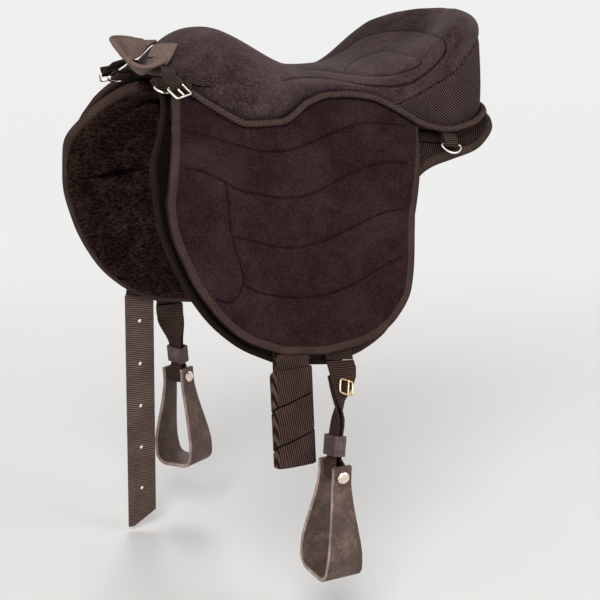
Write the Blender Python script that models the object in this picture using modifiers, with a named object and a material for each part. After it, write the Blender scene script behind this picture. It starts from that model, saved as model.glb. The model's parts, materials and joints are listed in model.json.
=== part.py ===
"""Treeless saddle, modelled as its separate pieces.

Metres, +Z up. The front (pommel) is at -X and the horse's left side is at -Y.
Every soft layer is laid on one barrel-shaped skin: a point is given by x, by its reach
(the distance out from the ridge, measured along the skin) and by how far it stands off the skin.
"""
import bpy
import bmesh
from math import pi, radians, sin, cos, atan2, hypot
from mathutils import Vector, Matrix

# Barrel that every layer is draped over
FRONT_REACH = 0.285
REAR_REACH = 0.290
BARREL_RADIUS = 0.163
BARREL_SLOPE = radians(80)
RIDGE_HEIGHT = 0.0385
RIDGE_FALL = 0.13

# Fits between pieces
TOUCH_GAP = 0.0003
LAYER_GAP = 0.001
WEBBING = 0.0025
ROUND_STEPS = 16

# Panels, their fleece and the sheet that joins them
PANEL_REACH = 0.430
GULLET_REACH = 0.030
PANEL_PAD = 0.029
PANEL_FLAP = 0.012
PANEL_RIM = 0.017
PAD_REACH = 0.110
PAD_END_REACH = 0.270
FLEECE_PILE = 0.008
FLEECE_MARGIN = 0.020
SHEET_REACH = 0.128
SHEET_THICK = 0.0025
SHEET_MARGIN = 0.007
PANEL_FRONT_SHARES = ((0.07, 0.78), (0.21, 0.842), (0.345, 0.93), (0.46, 1.0), (0.58, 1.0),
                      (0.715, 0.947), (0.858, 0.825), (0.95, 0.667), (1.0, 0.48))
PANEL_REAR_SHARES = ((0.07, 1.0), (0.119, 0.97), (0.174, 0.927), (0.225, 0.858), (0.284, 0.752), (0.33, 0.59),
                     (0.37, 0.441), (0.413, 0.344), (0.49, 0.24), (0.605, 0.20), (0.745, 0.18), (0.885, 0.10),
                     (0.953, -0.03), (1.0, -0.20))

# Stiff inserts under the seat
INSERT_OFF = 0.0045
INSERT_THICK = 0.005
FORK_FRONT = 0.205
FORK_DEPTH = 0.038
FORK_SWEEP = 0.018
FORK_REACH = 0.118
PLATE_FRONT = 0.160
PLATE_REAR = 0.234
PLATE_REACH = 0.085

# Seat
SEAT_FRONT = 0.222
SEAT_REAR = 0.281
CANTLE_REAR = 0.268
SEAT_FLOOR = 0.0105
SEAT_FLOOR_REAR = 0.0052
SEAT_EDGE_REACH = 0.1445
SEAT_EDGE_OFF = 0.049
SEAT_RIM_WIDTH = 0.128
SEAT_HEIGHT = 0.1475
SEAT_LIP = 0.005
PIPING_RADIUS = 0.0042
PIPING_CLEAR = 0.0056
RISER_FRONT = 0.070
SEAM_HEIGHT = 0.112
RISER_LEAST = 0.012
EDGE_REACH_SHARES = ((0.0, 0.43), (0.014, 0.62), (0.0635, 0.83), (0.133, 0.985), (0.222, 0.965), (0.321, 0.79),
                     (0.401, 0.70), (0.52, 0.7225), (0.639, 0.819), (0.758, 0.815), (0.857, 0.725),
                     (0.946, 0.49), (0.985, 0.29), (1.0, 0.13))
EDGE_OFF_SHARES = ((0.0, 0.435), (0.014, 0.461), (0.0635, 0.51), (0.133, 0.62), (0.222, 0.721), (0.321, 0.853),
                   (0.401, 0.885), (0.45, 0.975), (0.509, 1.0), (0.548, 0.945), (0.581, 0.885), (0.619, 0.78),
                   (0.666, 0.56), (0.711, 0.43), (0.756, 0.385), (0.828, 0.415), (0.867, 0.43), (0.904, 0.41),
                   (0.947, 0.30), (0.98, 0.21), (1.0, 0.19))
CREST_SHARES = ((0.0, 0.56), (0.009, 0.597), (0.02, 0.664), (0.035, 0.72), (0.05, 0.756), (0.07, 0.80),
                (0.09, 0.844), (0.125, 0.875), (0.16, 0.878), (0.183, 0.861), (0.21, 0.818), (0.262, 0.712),
                (0.342, 0.556), (0.44, 0.495), (0.54, 0.502), (0.639, 0.542),
                (0.738, 0.624), (0.80, 0.70), (0.839, 0.795), (0.879, 0.90), (0.9085, 0.97), (0.9245, 0.98),
                (0.948, 0.94), (0.968, 0.873), (0.974, 0.845), (1.0, 0.81))
RIM_WIDTH_SHARES = ((0.0, 0.30), (0.009, 0.3125), (0.035, 0.35), (0.0635, 0.47), (0.10, 0.61), (0.133, 0.72),
                    (0.18, 0.81),
                    (0.222, 0.85), (0.321, 0.78), (0.401, 0.72), (0.52, 0.765), (0.60, 0.83), (0.65, 0.86),
                    (0.71, 0.87), (0.769, 0.86), (0.809, 0.78), (0.839, 0.66), (0.869, 0.51), (0.8986, 0.28),
                    (0.9185, 0.12), (1.0, 0.10))
RIM_HEIGHT_SHARES = ((0.0, 0.52), (0.009, 0.556), (0.035, 0.658), (0.0635, 0.695), (0.10, 0.712), (0.133, 0.69),
                     (0.222, 0.578),
                     (0.321, 0.475), (0.401, 0.433), (0.52, 0.42), (0.60, 0.447), (0.64, 0.488), (0.67, 0.556),
                     (0.71, 0.664), (0.769, 0.81), (0.809, 0.885), (0.839, 0.929), (0.869, 0.953), (0.8986, 0.973),
                     (0.9185, 0.98), (0.938, 0.965), (0.968, 0.878), (0.974, 0.848), (1.0, 0.81))
SEAM_SHARES = ((0.0, 0.232), (0.067, 0.281), (0.19, 0.33), (0.32, 0.427), (0.407, 0.484), (0.515, 0.558),
               (0.64, 0.723), (0.71, 0.837), (0.80, 0.94), (1.0, 1.0))
FRONT_STATION_SHARES = (0.0, 0.025, 0.055, 0.09, 0.13, 0.175, 0.225, 0.28, 0.345, 0.42, 0.505, 0.595, 0.69,
                        0.79, 0.895, 1.0)
REAR_STATION_SHARES = (0.0, 0.10, 0.21, 0.33, 0.45, 0.56, 0.66, 0.74, 0.81, 0.87, 0.92, 0.96, 1.0)
SEAT_ROW_SHARES = (0.0, 0.12, 0.26, 0.40, 0.53, 0.64, 0.74, 0.83, 0.92, 1.0)
RIM_ROW_SHARE = 0.64

# Flaps
FLAP_REACH = 0.4175
FLAP_FRONT = 0.280
FLAP_REAR = 0.108
FLAP_CORNER = 0.115
FLAP_OFF = 0.020
FLAP_THICK = 0.0088
FLAP_HINGE_REACH = 0.235
FLAP_LIFT_CURVE_SHARE = 1.5
FLAP_FRONT_SHARES = ((0.24, 0.72), (0.27, 0.745), (0.385, 0.907), (0.508, 1.0), (0.623, 0.993), (0.76, 0.929),
                     (0.87, 0.83), (0.96, 0.68), (1.0, 0.50))
FLAP_REAR_SHARES = ((0.24, 1.07), (0.313, 1.03), (0.36, 0.946), (0.405, 0.855), (0.463, 0.763), (0.52, 0.69),
                    (0.61, 0.645), (0.705, 0.605), (0.80, 0.525), (0.893, 0.275), (0.965, -0.16), (1.0, -0.74))
KNEE_FRONT = 0.262
KNEE_REAR = 0.200
KNEE_TOP_REACH = 0.215
KNEE_END_REACH = 0.350
KNEE_THICK = 0.0078

# Webbing that crosses the back, and the rings at its ends
STIRRUP_X = -0.083
GIRTH_X = -0.140
CARRIER_WIDTH = 0.042
CARRIER_OFF = 0.0045
CARRIER_FOLD = 0.024
RING_WIRE = 0.002
RING_FIT = 0.0006
RING_DROP = 0.027
RING_REACH = 0.262
RING_OFF = 0.0056
RING_SLACK = 0.005
STRAP_LOOP_ROOM = 0.0055
LOOP_STRAIGHT_SHARE = 0.55
LOOP_SETTLE_SHARE = 1.35
SWING_AHEAD = 0.010

# Stirrup straps, keepers and stirrups
STRAP_WIDTH = 0.040
STRAP_NECK_WIDTH = 0.021
STRAP_GAP_OFF = 0.0058
STRAP_END_REACH = 0.426
STRAP_SPREAD = 0.241
STRAP_LEAN = {-1: 0.030, 1: -0.0275}
BOLT_HEIGHT = -0.418
BOLT_RADIUS = 0.0042
BOLT_HEAD_RADIUS = 0.0085
BOLT_HEAD_DEPTH = 0.004
SLEEVE_RADIUS = 0.0075
SLEEVE_LENGTH = 0.026
STRAND_SPREAD = 0.0032
STRAND_START_SHARE = 0.008
STRAND_OPEN_SHARE = 0.1
STRAND_TURN_SHARE = 0.93
TWIST_START_SHARE = 0.03
TWIST_END_SHARE = 0.66
NARROW_START_SHARE = 0.30
STRAP_TAIL_SHARE = 0.12
STRAP_NECK_SHARE = 0.85
KEEPER_LENGTH = 0.026
KEEPER_WALL = 0.002
KEEPER_SHARE = 0.74
STIRRUP_HEIGHT = 0.138
STIRRUP_TOP = 0.020
STIRRUP_HALF_WIDTH = 0.0345
STIRRUP_SKIN = 0.0062
STIRRUP_TREAD_DEPTH = 0.053
STIRRUP_TOP_DEPTH = 0.026
STIRRUP_TILT = radians(4)
STIRRUP_TURN = {-1: 0.0, 1: radians(26)}
STIRRUP_TREAD_RADIUS = 0.018
BUCKLE_WIRE = 0.0015
STRAP_BUCKLE_SHARE = 0.24
STRAP_BUCKLE_HEIGHT = 0.018
STRAP_BUCKLE_REST = {-1: 0.0006, 1: 0.0016}

# Girth strap on the left, girth billet on the right
GIRTH_WIDTH = 0.052
BILLET_WIDTH = 0.045
GIRTH_LEAN = {-1: 0.0125, 1: -0.0215}
GIRTH_END_REACH = 0.4285
GIRTH_GAP_OFF = 0.0055
BILLET_LENGTH = 0.368
BILLET_TIP_DROP = 0.022
BILLET_THICK = 0.0035
BILLET_HOLES = 5
BILLET_HOLE_RADIUS = 0.003
BILLET_HOLE_PITCH = 0.067
BILLET_FIRST_HOLE = 0.039
BILLET_FLARE = 0.012
ROLL_LENGTH = 0.128
ROLL_LAYERS = 3
ROLL_LAYER_PITCH = 0.0042
ROLL_WRAP_PITCH = 0.050
ROLL_WRAP_WIDTH = 0.0475
ROLL_WRAP_OFF = 0.0034
ROLL_FLARE = 0.012
ROLL_TURNS = 2.9
ROLL_START_SHARE = 0.05
ROLL_CORNER_SHARE = 0.7

# Handle over the pommel and its straps
HANDLE_BACK = 0.208
HANDLE_REACH = 0.052
HANDLE_HALF_SPAN = 0.042
HANDLE_LOW = 0.082
HANDLE_DROP = 0.028
HANDLE_WIDTH = 0.034
HANDLE_THICK = 0.0055
HANDLE_STRAP_WIDTH = 0.020
HANDLE_BUCKLE_X = -0.2315
HANDLE_BUCKLE_REACH = 0.104
HANDLE_BUCKLE_OFF = 0.0295
HANDLE_BUCKLE_TURN = radians(27)
HANDLE_BUCKLE_LENGTH = 0.026
HANDLE_BUCKLE_WIDTH = 0.019
HANDLE_STRAP_TOP = (-0.2225, 0.0585, 0.0855)
TONGUE_PLACE_SHARE = 0.2
TONGUE_END_SHARE = 0.15
TAIL_LENGTH = 0.028
TAIL_WIDTH = 0.014
# Each row: how far forward, across and up the handle's middle is, then the direction of its width
HANDLE_SHARES = ((0.0, -0.52, 1.0, (0.6, -0.8, 0.0)), (0.18, -0.74, 0.68, (0.55, -0.83, -0.05)),
                 (0.36, -0.90, 0.34, (0.3, -0.95, 0.05)), (0.55, -0.98, 0.11, (0.0, -0.97, 0.24)),
                 (0.73, -0.93, 0.0, (-0.3, -0.9, 0.3)), (0.88, -0.71, 0.08, (-0.55, -0.7, 0.45)),
                 (0.97, -0.38, 0.38, (-0.68, -0.4, 0.6)), (1.0, 0.0, 0.68, (-0.65, 0.0, 0.76)),
                 (0.955, 0.38, 0.79, (-0.5, 0.3, 0.81)), (0.85, 0.69, 0.81, (-0.35, 0.4, 0.85)),
                 (0.70, 0.90, 0.79, (-0.2, 0.45, 0.87)), (0.52, 1.0, 0.76, (0.0, 0.5, 0.87)),
                 (0.35, 0.95, 0.72, (0.2, 0.6, 0.77)), (0.18, 0.76, 0.76, (0.45, 0.75, 0.45)),
                 (0.0, 0.52, 1.0, (0.6, 0.8, 0.0)))

# D-rings: place (x, reach, off), half-width and how deep their bow is against it
FRONT_D_PLACE = (-0.2362, 0.072, 0.0096)
REAR_D_PLACE = (0.164, 0.134, 0.0082)
FRONT_D_RADIUS = 0.0125
REAR_D_RADIUS = 0.0165
FRONT_D_BOW_SHARE = 1.2
REAR_D_BOW_SHARE = 0.9
D_WIRE = 0.0016
TAB_WIDTH = 0.022

SADDLE = None
CUTTERS = None


def start_scene():
    global SADDLE, CUTTERS
    for item in list(bpy.data.objects):
        bpy.data.objects.remove(item, do_unlink=True)
    SADDLE = bpy.data.collections.new("treeless_saddle")
    CUTTERS = bpy.data.collections.new("cutters")
    for group in (SADDLE, CUTTERS):
        bpy.context.scene.collection.children.link(group)


def finish(name, colour, roughness, metallic=0.0):
    material = bpy.data.materials.new(name)
    material.use_nodes = True
    shader = material.node_tree.nodes["Principled BSDF"]
    shader.inputs["Base Color"].default_value = (*colour, 1.0)
    shader.inputs["Roughness"].default_value = roughness
    shader.inputs["Metallic"].default_value = metallic
    return material


def flow(shares, at):
    """Smooth curve through pairs of (where, value), with no overshoot between them."""
    last = len(shares) - 1
    if at <= shares[0][0]:
        return shares[0][1]
    if at >= shares[last][0]:
        return shares[last][1]
    steps = [shares[i + 1][0] - shares[i][0] for i in range(last)]
    rises = [(shares[i + 1][1] - shares[i][1]) / steps[i] for i in range(last)]

    def bend(i):
        if i == 0:
            return rises[0]
        if i == last:
            return rises[last - 1]
        if rises[i - 1] * rises[i] <= 0:
            return 0.0
        return 2 * rises[i - 1] * rises[i] / (rises[i - 1] + rises[i])

    i = next(k for k in range(last) if at <= shares[k + 1][0])
    t = (at - shares[i][0]) / steps[i]
    start, end = shares[i][1], shares[i + 1][1]
    curve = start * (1 + 2 * t) * (1 - t) ** 2 + end * t * t * (3 - 2 * t)
    return curve + steps[i] * (bend(i) * t * (1 - t) ** 2 - bend(i + 1) * t * t * (1 - t))


def ease(t):
    t = min(max(t, 0.0), 1.0)
    return t * t * (3 - 2 * t)


def mix(a, b, t):
    return a + (b - a) * t


def ridge(x):
    return RIDGE_HEIGHT - RIDGE_FALL * x


def skin(x, reach, off, side):
    """Point on the barrel: side is -1 for the horse's left and 1 for its right."""
    slope = min(reach / BARREL_RADIUS, BARREL_SLOPE)
    past = max(0.0, reach - BARREL_RADIUS * BARREL_SLOPE)
    across = (BARREL_RADIUS + off) * sin(slope) + past * cos(slope)
    height = ridge(x) - BARREL_RADIUS + (BARREL_RADIUS + off) * cos(slope) - past * sin(slope)
    return Vector((x, side * across, height))


def skin_frame(x, reach, off, side):
    """Matrix on the skin: X to the rear, Y down along the skin, Z out of it (so mirrored on the left)."""
    slope = min(reach / BARREL_RADIUS, BARREL_SLOPE)
    fore = Vector((1.0, 0.0, -RIDGE_FALL)).normalized()
    outward = Vector((0.0, side * sin(slope), cos(slope)))
    down = outward.cross(fore).normalized() * side
    frame = Matrix((fore, down, outward)).transposed().to_4x4()
    frame.translation = skin(x, reach, off, side)
    return frame


def place_mesh(name, mesh, material, pivot=None, group=None):
    """Object for a mesh drawn in world places, with its origin moved to the pivot."""
    item = bpy.data.objects.new(name, mesh)
    (group or SADDLE).objects.link(item)
    if pivot is not None:
        mesh.transform(Matrix.Translation(-Vector(pivot)))
        item.location = pivot
    if material is not None:
        mesh.materials.append(material)
    if group is CUTTERS:
        item.hide_render = True
        item.display_type = "WIRE"
    return item


def mesh_from(bm, name):
    bmesh.ops.recalc_face_normals(bm, faces=bm.faces[:])
    if bm.calc_volume(signed=True) < 0:
        bmesh.ops.reverse_faces(bm, faces=bm.faces[:])
    mesh = bpy.data.meshes.new(name)
    bm.to_mesh(mesh)
    bm.free()
    return mesh


def block(name, columns, rows, place, material, pivot=None, layers=1):
    """Unit block cut into columns, rows and layers, each corner then laid where place(u, v, w) says."""
    bm = bmesh.new()
    bmesh.ops.create_cube(bm, size=1.0)
    for axis, count in ((0, columns), (1, rows), (2, layers)):
        along = [e for e in bm.edges if abs(e.verts[0].co[axis] - e.verts[1].co[axis]) > 0.5]
        bmesh.ops.subdivide_edges(bm, edges=along, cuts=count - 1, use_grid_fill=True)
    for vert in bm.verts:
        vert.co = place(vert.co.x + 0.5, vert.co.y + 0.5, vert.co.z + 0.5)
    return place_mesh(name, mesh_from(bm, name), material, pivot)


def strip(name, pairs, thick, material, pivot=None):
    """Flat strap: an open band through pairs of edge points, given its thickness by Solidify."""
    bm = bmesh.new()
    rows = [(bm.verts.new(a), bm.verts.new(b)) for a, b in pairs]
    for (a, b), (c, d) in zip(rows, rows[1:]):
        bm.faces.new((a, b, d, c))
    mesh = bpy.data.meshes.new(name)
    bm.to_mesh(mesh)
    bm.free()
    item = place_mesh(name, mesh, material, pivot)
    wall = item.modifiers.new("thickness", "SOLIDIFY")
    wall.thickness = thick
    wall.offset = 0.0
    wall.use_even_offset = True
    return item


def wire(name, points, radius, material, closed=False, sides=2, pivot=None, frame=None, group=None):
    """Round wire through the points, made a mesh so that its caps are welded."""
    curve = bpy.data.curves.new(name, "CURVE")
    curve.dimensions = "3D"
    curve.bevel_depth = radius
    curve.bevel_resolution = sides
    curve.use_fill_caps = True
    run = curve.splines.new("POLY")
    run.points.add(len(points) - 1)
    for knot, point in zip(run.points, points):
        knot.co = (*(frame @ Vector(point) if frame else Vector(point)), 1.0)
    run.use_cyclic_u = closed
    return as_mesh(name, curve, material, pivot, group)


def as_mesh(name, curve, material, pivot=None, group=None, frame=None):
    """Mesh object from a curve, its caps welded."""
    holder = bpy.data.objects.new(name + "_curve", curve)
    bpy.context.scene.collection.objects.link(holder)
    bpy.context.view_layer.update()
    mesh = bpy.data.meshes.new_from_object(holder.evaluated_get(bpy.context.evaluated_depsgraph_get()))
    mesh.name = name
    bpy.data.objects.remove(holder, do_unlink=True)
    mesh.materials.clear()
    bm = bmesh.new()
    bm.from_mesh(mesh)
    bmesh.ops.remove_doubles(bm, verts=bm.verts[:], dist=0.00001)
    if frame is not None:
        bmesh.ops.transform(bm, matrix=frame, verts=bm.verts[:])
    bpy.data.meshes.remove(mesh)
    return place_mesh(name, mesh_from(bm, name), material, pivot, group)


def plate(name, outlines, thick, material, frame, pivot=None, group=None):
    """Flat plate from closed outlines in its own plane, inner outlines being holes."""
    curve = bpy.data.curves.new(name, "CURVE")
    curve.dimensions = "2D"
    curve.fill_mode = "BOTH"
    curve.extrude = thick / 2
    for outline in outlines:
        run = curve.splines.new("POLY")
        run.points.add(len(outline) - 1)
        for knot, (a, b) in zip(run.points, outline):
            knot.co = (a, b, 0.0, 1.0)
        run.use_cyclic_u = True
    return as_mesh(name, curve, material, pivot, group, frame)


def rod(name, radius, start, end, material, pivot=None, group=None, sides=16):
    """Straight round bar between two points."""
    run = Vector(end) - Vector(start)
    bm = bmesh.new()
    bmesh.ops.create_cone(bm, cap_ends=True, segments=sides, radius1=radius, radius2=radius, depth=run.length)
    turn = run.to_track_quat("Z", "Y").to_matrix().to_4x4()
    bmesh.ops.transform(bm, matrix=Matrix.Translation((Vector(start) + Vector(end)) / 2) @ turn, verts=bm.verts[:])
    return place_mesh(name, mesh_from(bm, name), material, pivot, group)


def cut(item, cutter, operation="DIFFERENCE"):
    change = item.modifiers.new(operation.lower(), "BOOLEAN")
    change.object = cutter
    change.operation = operation
    change.solver = "EXACT"


def rounded_box(half_a, half_b, radius, steps=3):
    """Corner-rounded rectangle as a closed outline."""
    points = []
    for corner, (a, b) in enumerate(((1, 1), (-1, 1), (-1, -1), (1, -1))):
        for k in range(steps + 1):
            turn = pi / 2 * (corner + k / steps)
            points.append((a * (half_a - radius) + radius * cos(turn), b * (half_b - radius) + radius * sin(turn)))
    return points


# Panels and fleece

def panel_front(reach):
    return -FRONT_REACH * flow(PANEL_FRONT_SHARES, reach / PANEL_REACH)


def panel_rear(reach):
    return REAR_REACH * flow(PANEL_REAR_SHARES, reach / PANEL_REACH)


def panel_depth(reach):
    return mix(PANEL_PAD, PANEL_FLAP, ease((reach - PAD_REACH) / (PAD_END_REACH - PAD_REACH)))


def at_rim(u, v):
    return min(u, v, 1 - u, 1 - v) < 0.001


def make_panel(side, label, suede):
    rim_top_share, rim_bottom_share = 0.14, 0.80

    def place(u, v, w):
        reach = mix(GULLET_REACH, PANEL_REACH, 1 - (1 - v) ** 1.15)
        x = mix(panel_front(reach), panel_rear(reach), u)
        depth = panel_depth(reach)
        low = min(depth * rim_bottom_share, PANEL_RIM) if at_rim(u, v) else depth
        high = depth * (rim_top_share if at_rim(u, v) else 0.0)
        return skin(x, reach, -mix(low, high, w), side)

    return block("panel_" + label, 12, 14, place, suede)


def make_fleece(side, label, pile):
    rim_share = 0.35

    def place(u, v, w):
        reach = mix(GULLET_REACH + FLEECE_MARGIN, PANEL_REACH - FLEECE_MARGIN, v)
        x = mix(panel_front(reach) + FLEECE_MARGIN, panel_rear(reach) - FLEECE_MARGIN, u)
        pile_here = FLEECE_PILE * (rim_share if at_rim(u, v) else 1.0)
        return skin(x, reach, -panel_depth(reach) - LAYER_GAP - pile_here * (1 - w), side)

    return block("fleece_" + label, 10, 14, place, pile)


def across_skin(x, reach, off):
    """Point on either side of the ridge: reach is negative on the horse's left."""
    return skin(x, abs(reach), off, -1 if reach < 0 else 1)


def make_base_sheet(leather):
    def place(u, v, w):
        reach = SHEET_REACH * (2 * v - 1)
        edge = max(abs(reach), GULLET_REACH)
        x = mix(panel_front(edge) + SHEET_MARGIN, panel_rear(edge) - SHEET_MARGIN, u)
        return across_skin(x, reach, LAYER_GAP + SHEET_THICK * w)

    return block("base_sheet", 6, 14, place, leather)


def make_fork(board):
    def place(u, v, w):
        reach = FORK_REACH * (2 * v - 1)
        out = abs(2 * v - 1)
        front = -FORK_FRONT + FORK_SWEEP * out * out
        x = front + u * FORK_DEPTH * (1 - 0.4 * out * out)
        return across_skin(x, reach, INSERT_OFF + INSERT_THICK * w)

    return block("pommel_fork", 3, 14, place, board)


def make_cantle_plate(board):
    def place(u, v, w):
        reach = PLATE_REACH * (2 * v - 1)
        out = abs(2 * v - 1)
        x = mix(PLATE_FRONT, PLATE_REAR - (PLATE_REAR - PLATE_FRONT) * 0.4 * out * out, u)
        return across_skin(x, reach, INSERT_OFF + INSERT_THICK * w)

    return block("cantle_plate", 3, 10, place, board)


# Seat

def seat_share(x):
    return (x + SEAT_FRONT) / (SEAT_REAR + SEAT_FRONT)


def edge_reach(x):
    return SEAT_EDGE_REACH * flow(EDGE_REACH_SHARES, seat_share(x))


def edge_off(x):
    return SEAT_EDGE_OFF * flow(EDGE_OFF_SHARES, seat_share(x))


def wall_reach(x):
    """Reach of the seat's side, set in from the middle of its piping by the same room all round."""
    bend = (edge_reach(x + PIPING_CLEAR) - edge_reach(x - PIPING_CLEAR)) / (PIPING_CLEAR * 2)
    return max(edge_reach(x) - PIPING_CLEAR * hypot(1.0, bend), PIPING_CLEAR)


def wall_edge(x):
    """Half-width and height of the seat's side beside the piping."""
    point = skin(x, wall_reach(x), edge_off(x), 1)
    return point.y, point.z


def floor_off(x):
    return mix(SEAT_FLOOR, SEAT_FLOOR_REAR, ease((x - PLATE_REAR) / (SEAT_REAR - PLATE_REAR)))


def wall_foot(x):
    """The cantle's wall leans forward: where the column that ends at x on top stands on the floor."""
    if x <= RISER_FRONT:
        return x
    return mix(RISER_FRONT, SEAT_REAR - PIPING_CLEAR, (x - RISER_FRONT) / (CANTLE_REAR - RISER_FRONT))


def seam_height(x):
    return SEAM_HEIGHT * flow(SEAM_SHARES, (x - RISER_FRONT) / (CANTLE_REAR - RISER_FRONT))


def parting_height(x, row):
    """Seat and riser part along the seam at the sides and clear the ridge in the middle."""
    middle = max(seam_height(x), ridge(x) + floor_off(x) + RISER_LEAST)
    return mix(middle, seam_height(x), row * row)


def seat_profile(x, row):
    """Half-section of the seat's top: row 0 at the middle, RIM_ROW_SHARE on the rim, 1 at the lower edge."""
    share = seat_share(x)
    crest = SEAT_HEIGHT * flow(CREST_SHARES, share)
    rim_height = SEAT_HEIGHT * flow(RIM_HEIGHT_SHARES, share)
    edge, edge_height = wall_edge(wall_foot(x))
    if x > RISER_FRONT:
        edge_height = seam_height(x) + SEAT_LIP
    rim = min(SEAT_RIM_WIDTH * flow(RIM_WIDTH_SHARES, share), edge - SEAT_LIP)
    if row <= RIM_ROW_SHARE:
        t = row / RIM_ROW_SHARE
        bowl = ease(t) if rim_height > crest else t * t
        return rim * t, crest + (rim_height - crest) * bowl
    t = (row - RIM_ROW_SHARE) / (1 - RIM_ROW_SHARE)
    fall = min(0.0, 2 * (rim_height - crest) / max(rim, PIPING_RADIUS))
    lead = (edge - rim) * 0.6 + SEAT_LIP
    drop = rim_height - edge_height
    knots = ((rim, rim_height), (rim + lead, rim_height + lead * max(fall, -1.2)),
             (edge + SEAT_LIP * 0.8, edge_height + drop * 0.42), (edge, edge_height))
    weights = ((1 - t) ** 3, 3 * t * (1 - t) ** 2, 3 * t * t * (1 - t), t ** 3)
    return tuple(sum(k[i] * g for k, g in zip(knots, weights)) for i in (0, 1))


def make_seat(suede):
    front, rear = PIPING_CLEAR + LAYER_GAP - SEAT_FRONT, CANTLE_REAR
    stations = [mix(front, RISER_FRONT - TOUCH_GAP, t) for t in FRONT_STATION_SHARES]
    stations += [mix(RISER_FRONT + TOUCH_GAP, rear, t) for t in REAR_STATION_SHARES]
    columns = len(stations) - 1
    rows = len(SEAT_ROW_SHARES) - 1

    def place(u, v, w):
        x = stations[round(u * columns)]
        step = round((2 * v - 1) * rows)
        side = -1 if step < 0 else 1
        row = SEAT_ROW_SHARES[abs(step)]
        if w > 0.5:
            across, height = seat_profile(x, row)
            return Vector((x, side * across, height))
        if x > RISER_FRONT:
            return Vector((x, side * seat_profile(x, 1.0)[0] * row, parting_height(x, row) + LAYER_GAP * 1.5))
        return skin(x, wall_reach(x) * row, floor_off(x), side)

    return block("seat_cushion", columns, 2 * rows, place, suede)


def make_riser(mesh_cloth):
    """Block under the rear of the seat; its wall stands on the floor, passes the piping and meets the suede."""
    columns = len(REAR_STATION_SHARES) - 1
    rows = len(SEAT_ROW_SHARES) - 1
    piping_share = 0.4

    def place(u, v, w):
        top_x = mix(RISER_FRONT + LAYER_GAP * 2, CANTLE_REAR, REAR_STATION_SHARES[round(u * columns)])
        foot_x = wall_foot(top_x)
        step = round((2 * v - 1) * rows)
        side = -1 if step < 0 else 1
        row = SEAT_ROW_SHARES[abs(step)]
        low = skin(foot_x, wall_reach(foot_x) * row, floor_off(foot_x) + TOUCH_GAP, side)
        edge, edge_height = wall_edge(foot_x)
        high = Vector((top_x, side * seat_profile(top_x, 1.0)[0] * row, parting_height(top_x, row) - TOUCH_GAP))
        beside = Vector((foot_x, side * edge * row, max(edge_height, mix(low.z, high.z, piping_share))))
        if w < piping_share:
            return low.lerp(beside, w / piping_share)
        return beside.lerp(high, (w - piping_share) / (1 - piping_share))

    return block("cantle_riser", columns, 2 * rows, place, mesh_cloth, layers=3)


def make_piping(cord_cloth):
    count = 30
    shares = [0.5 - 0.5 * cos(pi * (k + 0.5) / count) for k in range(count)]
    run = [mix(-SEAT_FRONT, SEAT_REAR, s) for s in shares]
    left = [skin(x, edge_reach(x), edge_off(x), -1) for x in run]
    right = [skin(x, edge_reach(x), edge_off(x), 1) for x in reversed(run)]
    return wire("seat_piping", left + right, PIPING_RADIUS, cord_cloth, closed=True, sides=1)


# Flaps

def flap_front(reach):
    return -FLAP_FRONT * flow(FLAP_FRONT_SHARES, reach / FLAP_REACH)


def flap_rear(reach):
    return FLAP_REAR * flow(FLAP_REAR_SHARES, reach / FLAP_REACH)


def flap_off(x, reach):
    """The flap hangs clear of the panel and climbs to the seat's edge."""
    edge_x = max(x, PIPING_CLEAR - SEAT_FRONT)
    top = wall_reach(edge_x)
    climb = min(max((FLAP_HINGE_REACH - reach) / (FLAP_HINGE_REACH - top), 0.0), 1.0)
    edge = edge_off(edge_x) - PIPING_CLEAR
    return FLAP_OFF + (edge - FLAP_OFF) * climb ** FLAP_LIFT_CURVE_SHARE


def make_flap_top(side, label, suede):
    """Padded upper part of the flap, filling the wedge between the panel and the seat's edge."""
    def place(u, v, w):
        along = u ** 1.6
        hinge_x = mix(flap_front(FLAP_HINGE_REACH), flap_rear(FLAP_HINGE_REACH), along)
        first = mix(SEAT_LIP - SEAT_FRONT, FLAP_CORNER, along)
        start = wall_reach(first) + LAYER_GAP * 3.5
        reach = mix(start, FLAP_HINGE_REACH - TOUCH_GAP, v)
        x = mix(first, hinge_x, ((reach - start) / (FLAP_HINGE_REACH - start)) ** 0.7)
        low = FLAP_OFF - FLAP_THICK
        return skin(x, reach, mix(low, flap_off(x, reach), w), side)

    return block("flap_top_" + label, 14, 7, place, suede)


def hinge_line(side):
    """Point and direction of the flap's hinge, on its outer face."""
    start = skin(flap_front(FLAP_HINGE_REACH), FLAP_HINGE_REACH, FLAP_OFF, side)
    end = skin(flap_rear(FLAP_HINGE_REACH), FLAP_HINGE_REACH, FLAP_OFF, side)
    return (start + end) / 2, (end - start).normalized()


def make_flap(side, label, suede):
    rim_share = 0.30

    def place(u, v, w):
        reach = mix(FLAP_HINGE_REACH, FLAP_REACH, 1 - (1 - v) ** 1.3)
        x = mix(flap_front(reach), flap_rear(reach), u)
        pinch = FLAP_THICK * rim_share if min(u, 1 - u, 1 - v) < 0.001 else 0.0
        off = FLAP_OFF - FLAP_THICK * (1 - w) + pinch * (1 - w)
        return skin(x, reach, off, side)

    pivot, _ = hinge_line(side)
    return block("flap_" + label, 14, 12, place, suede, pivot)


def make_knee_block(side, label, foam):
    def place(u, v, w):
        reach = mix(KNEE_TOP_REACH, KNEE_END_REACH, v)
        lean = panel_front(reach) + FRONT_REACH
        x = mix(-KNEE_FRONT + lean, -KNEE_REAR + lean * 0.35, u)
        height = KNEE_THICK * (0.55 if at_rim(u, v) else 1.0)
        return skin(x, reach, LAYER_GAP + height * w, side)

    return block("knee_block_" + label, 4, 6, place, foam)


# Webbing over the back, rings and what hangs from them

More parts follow.
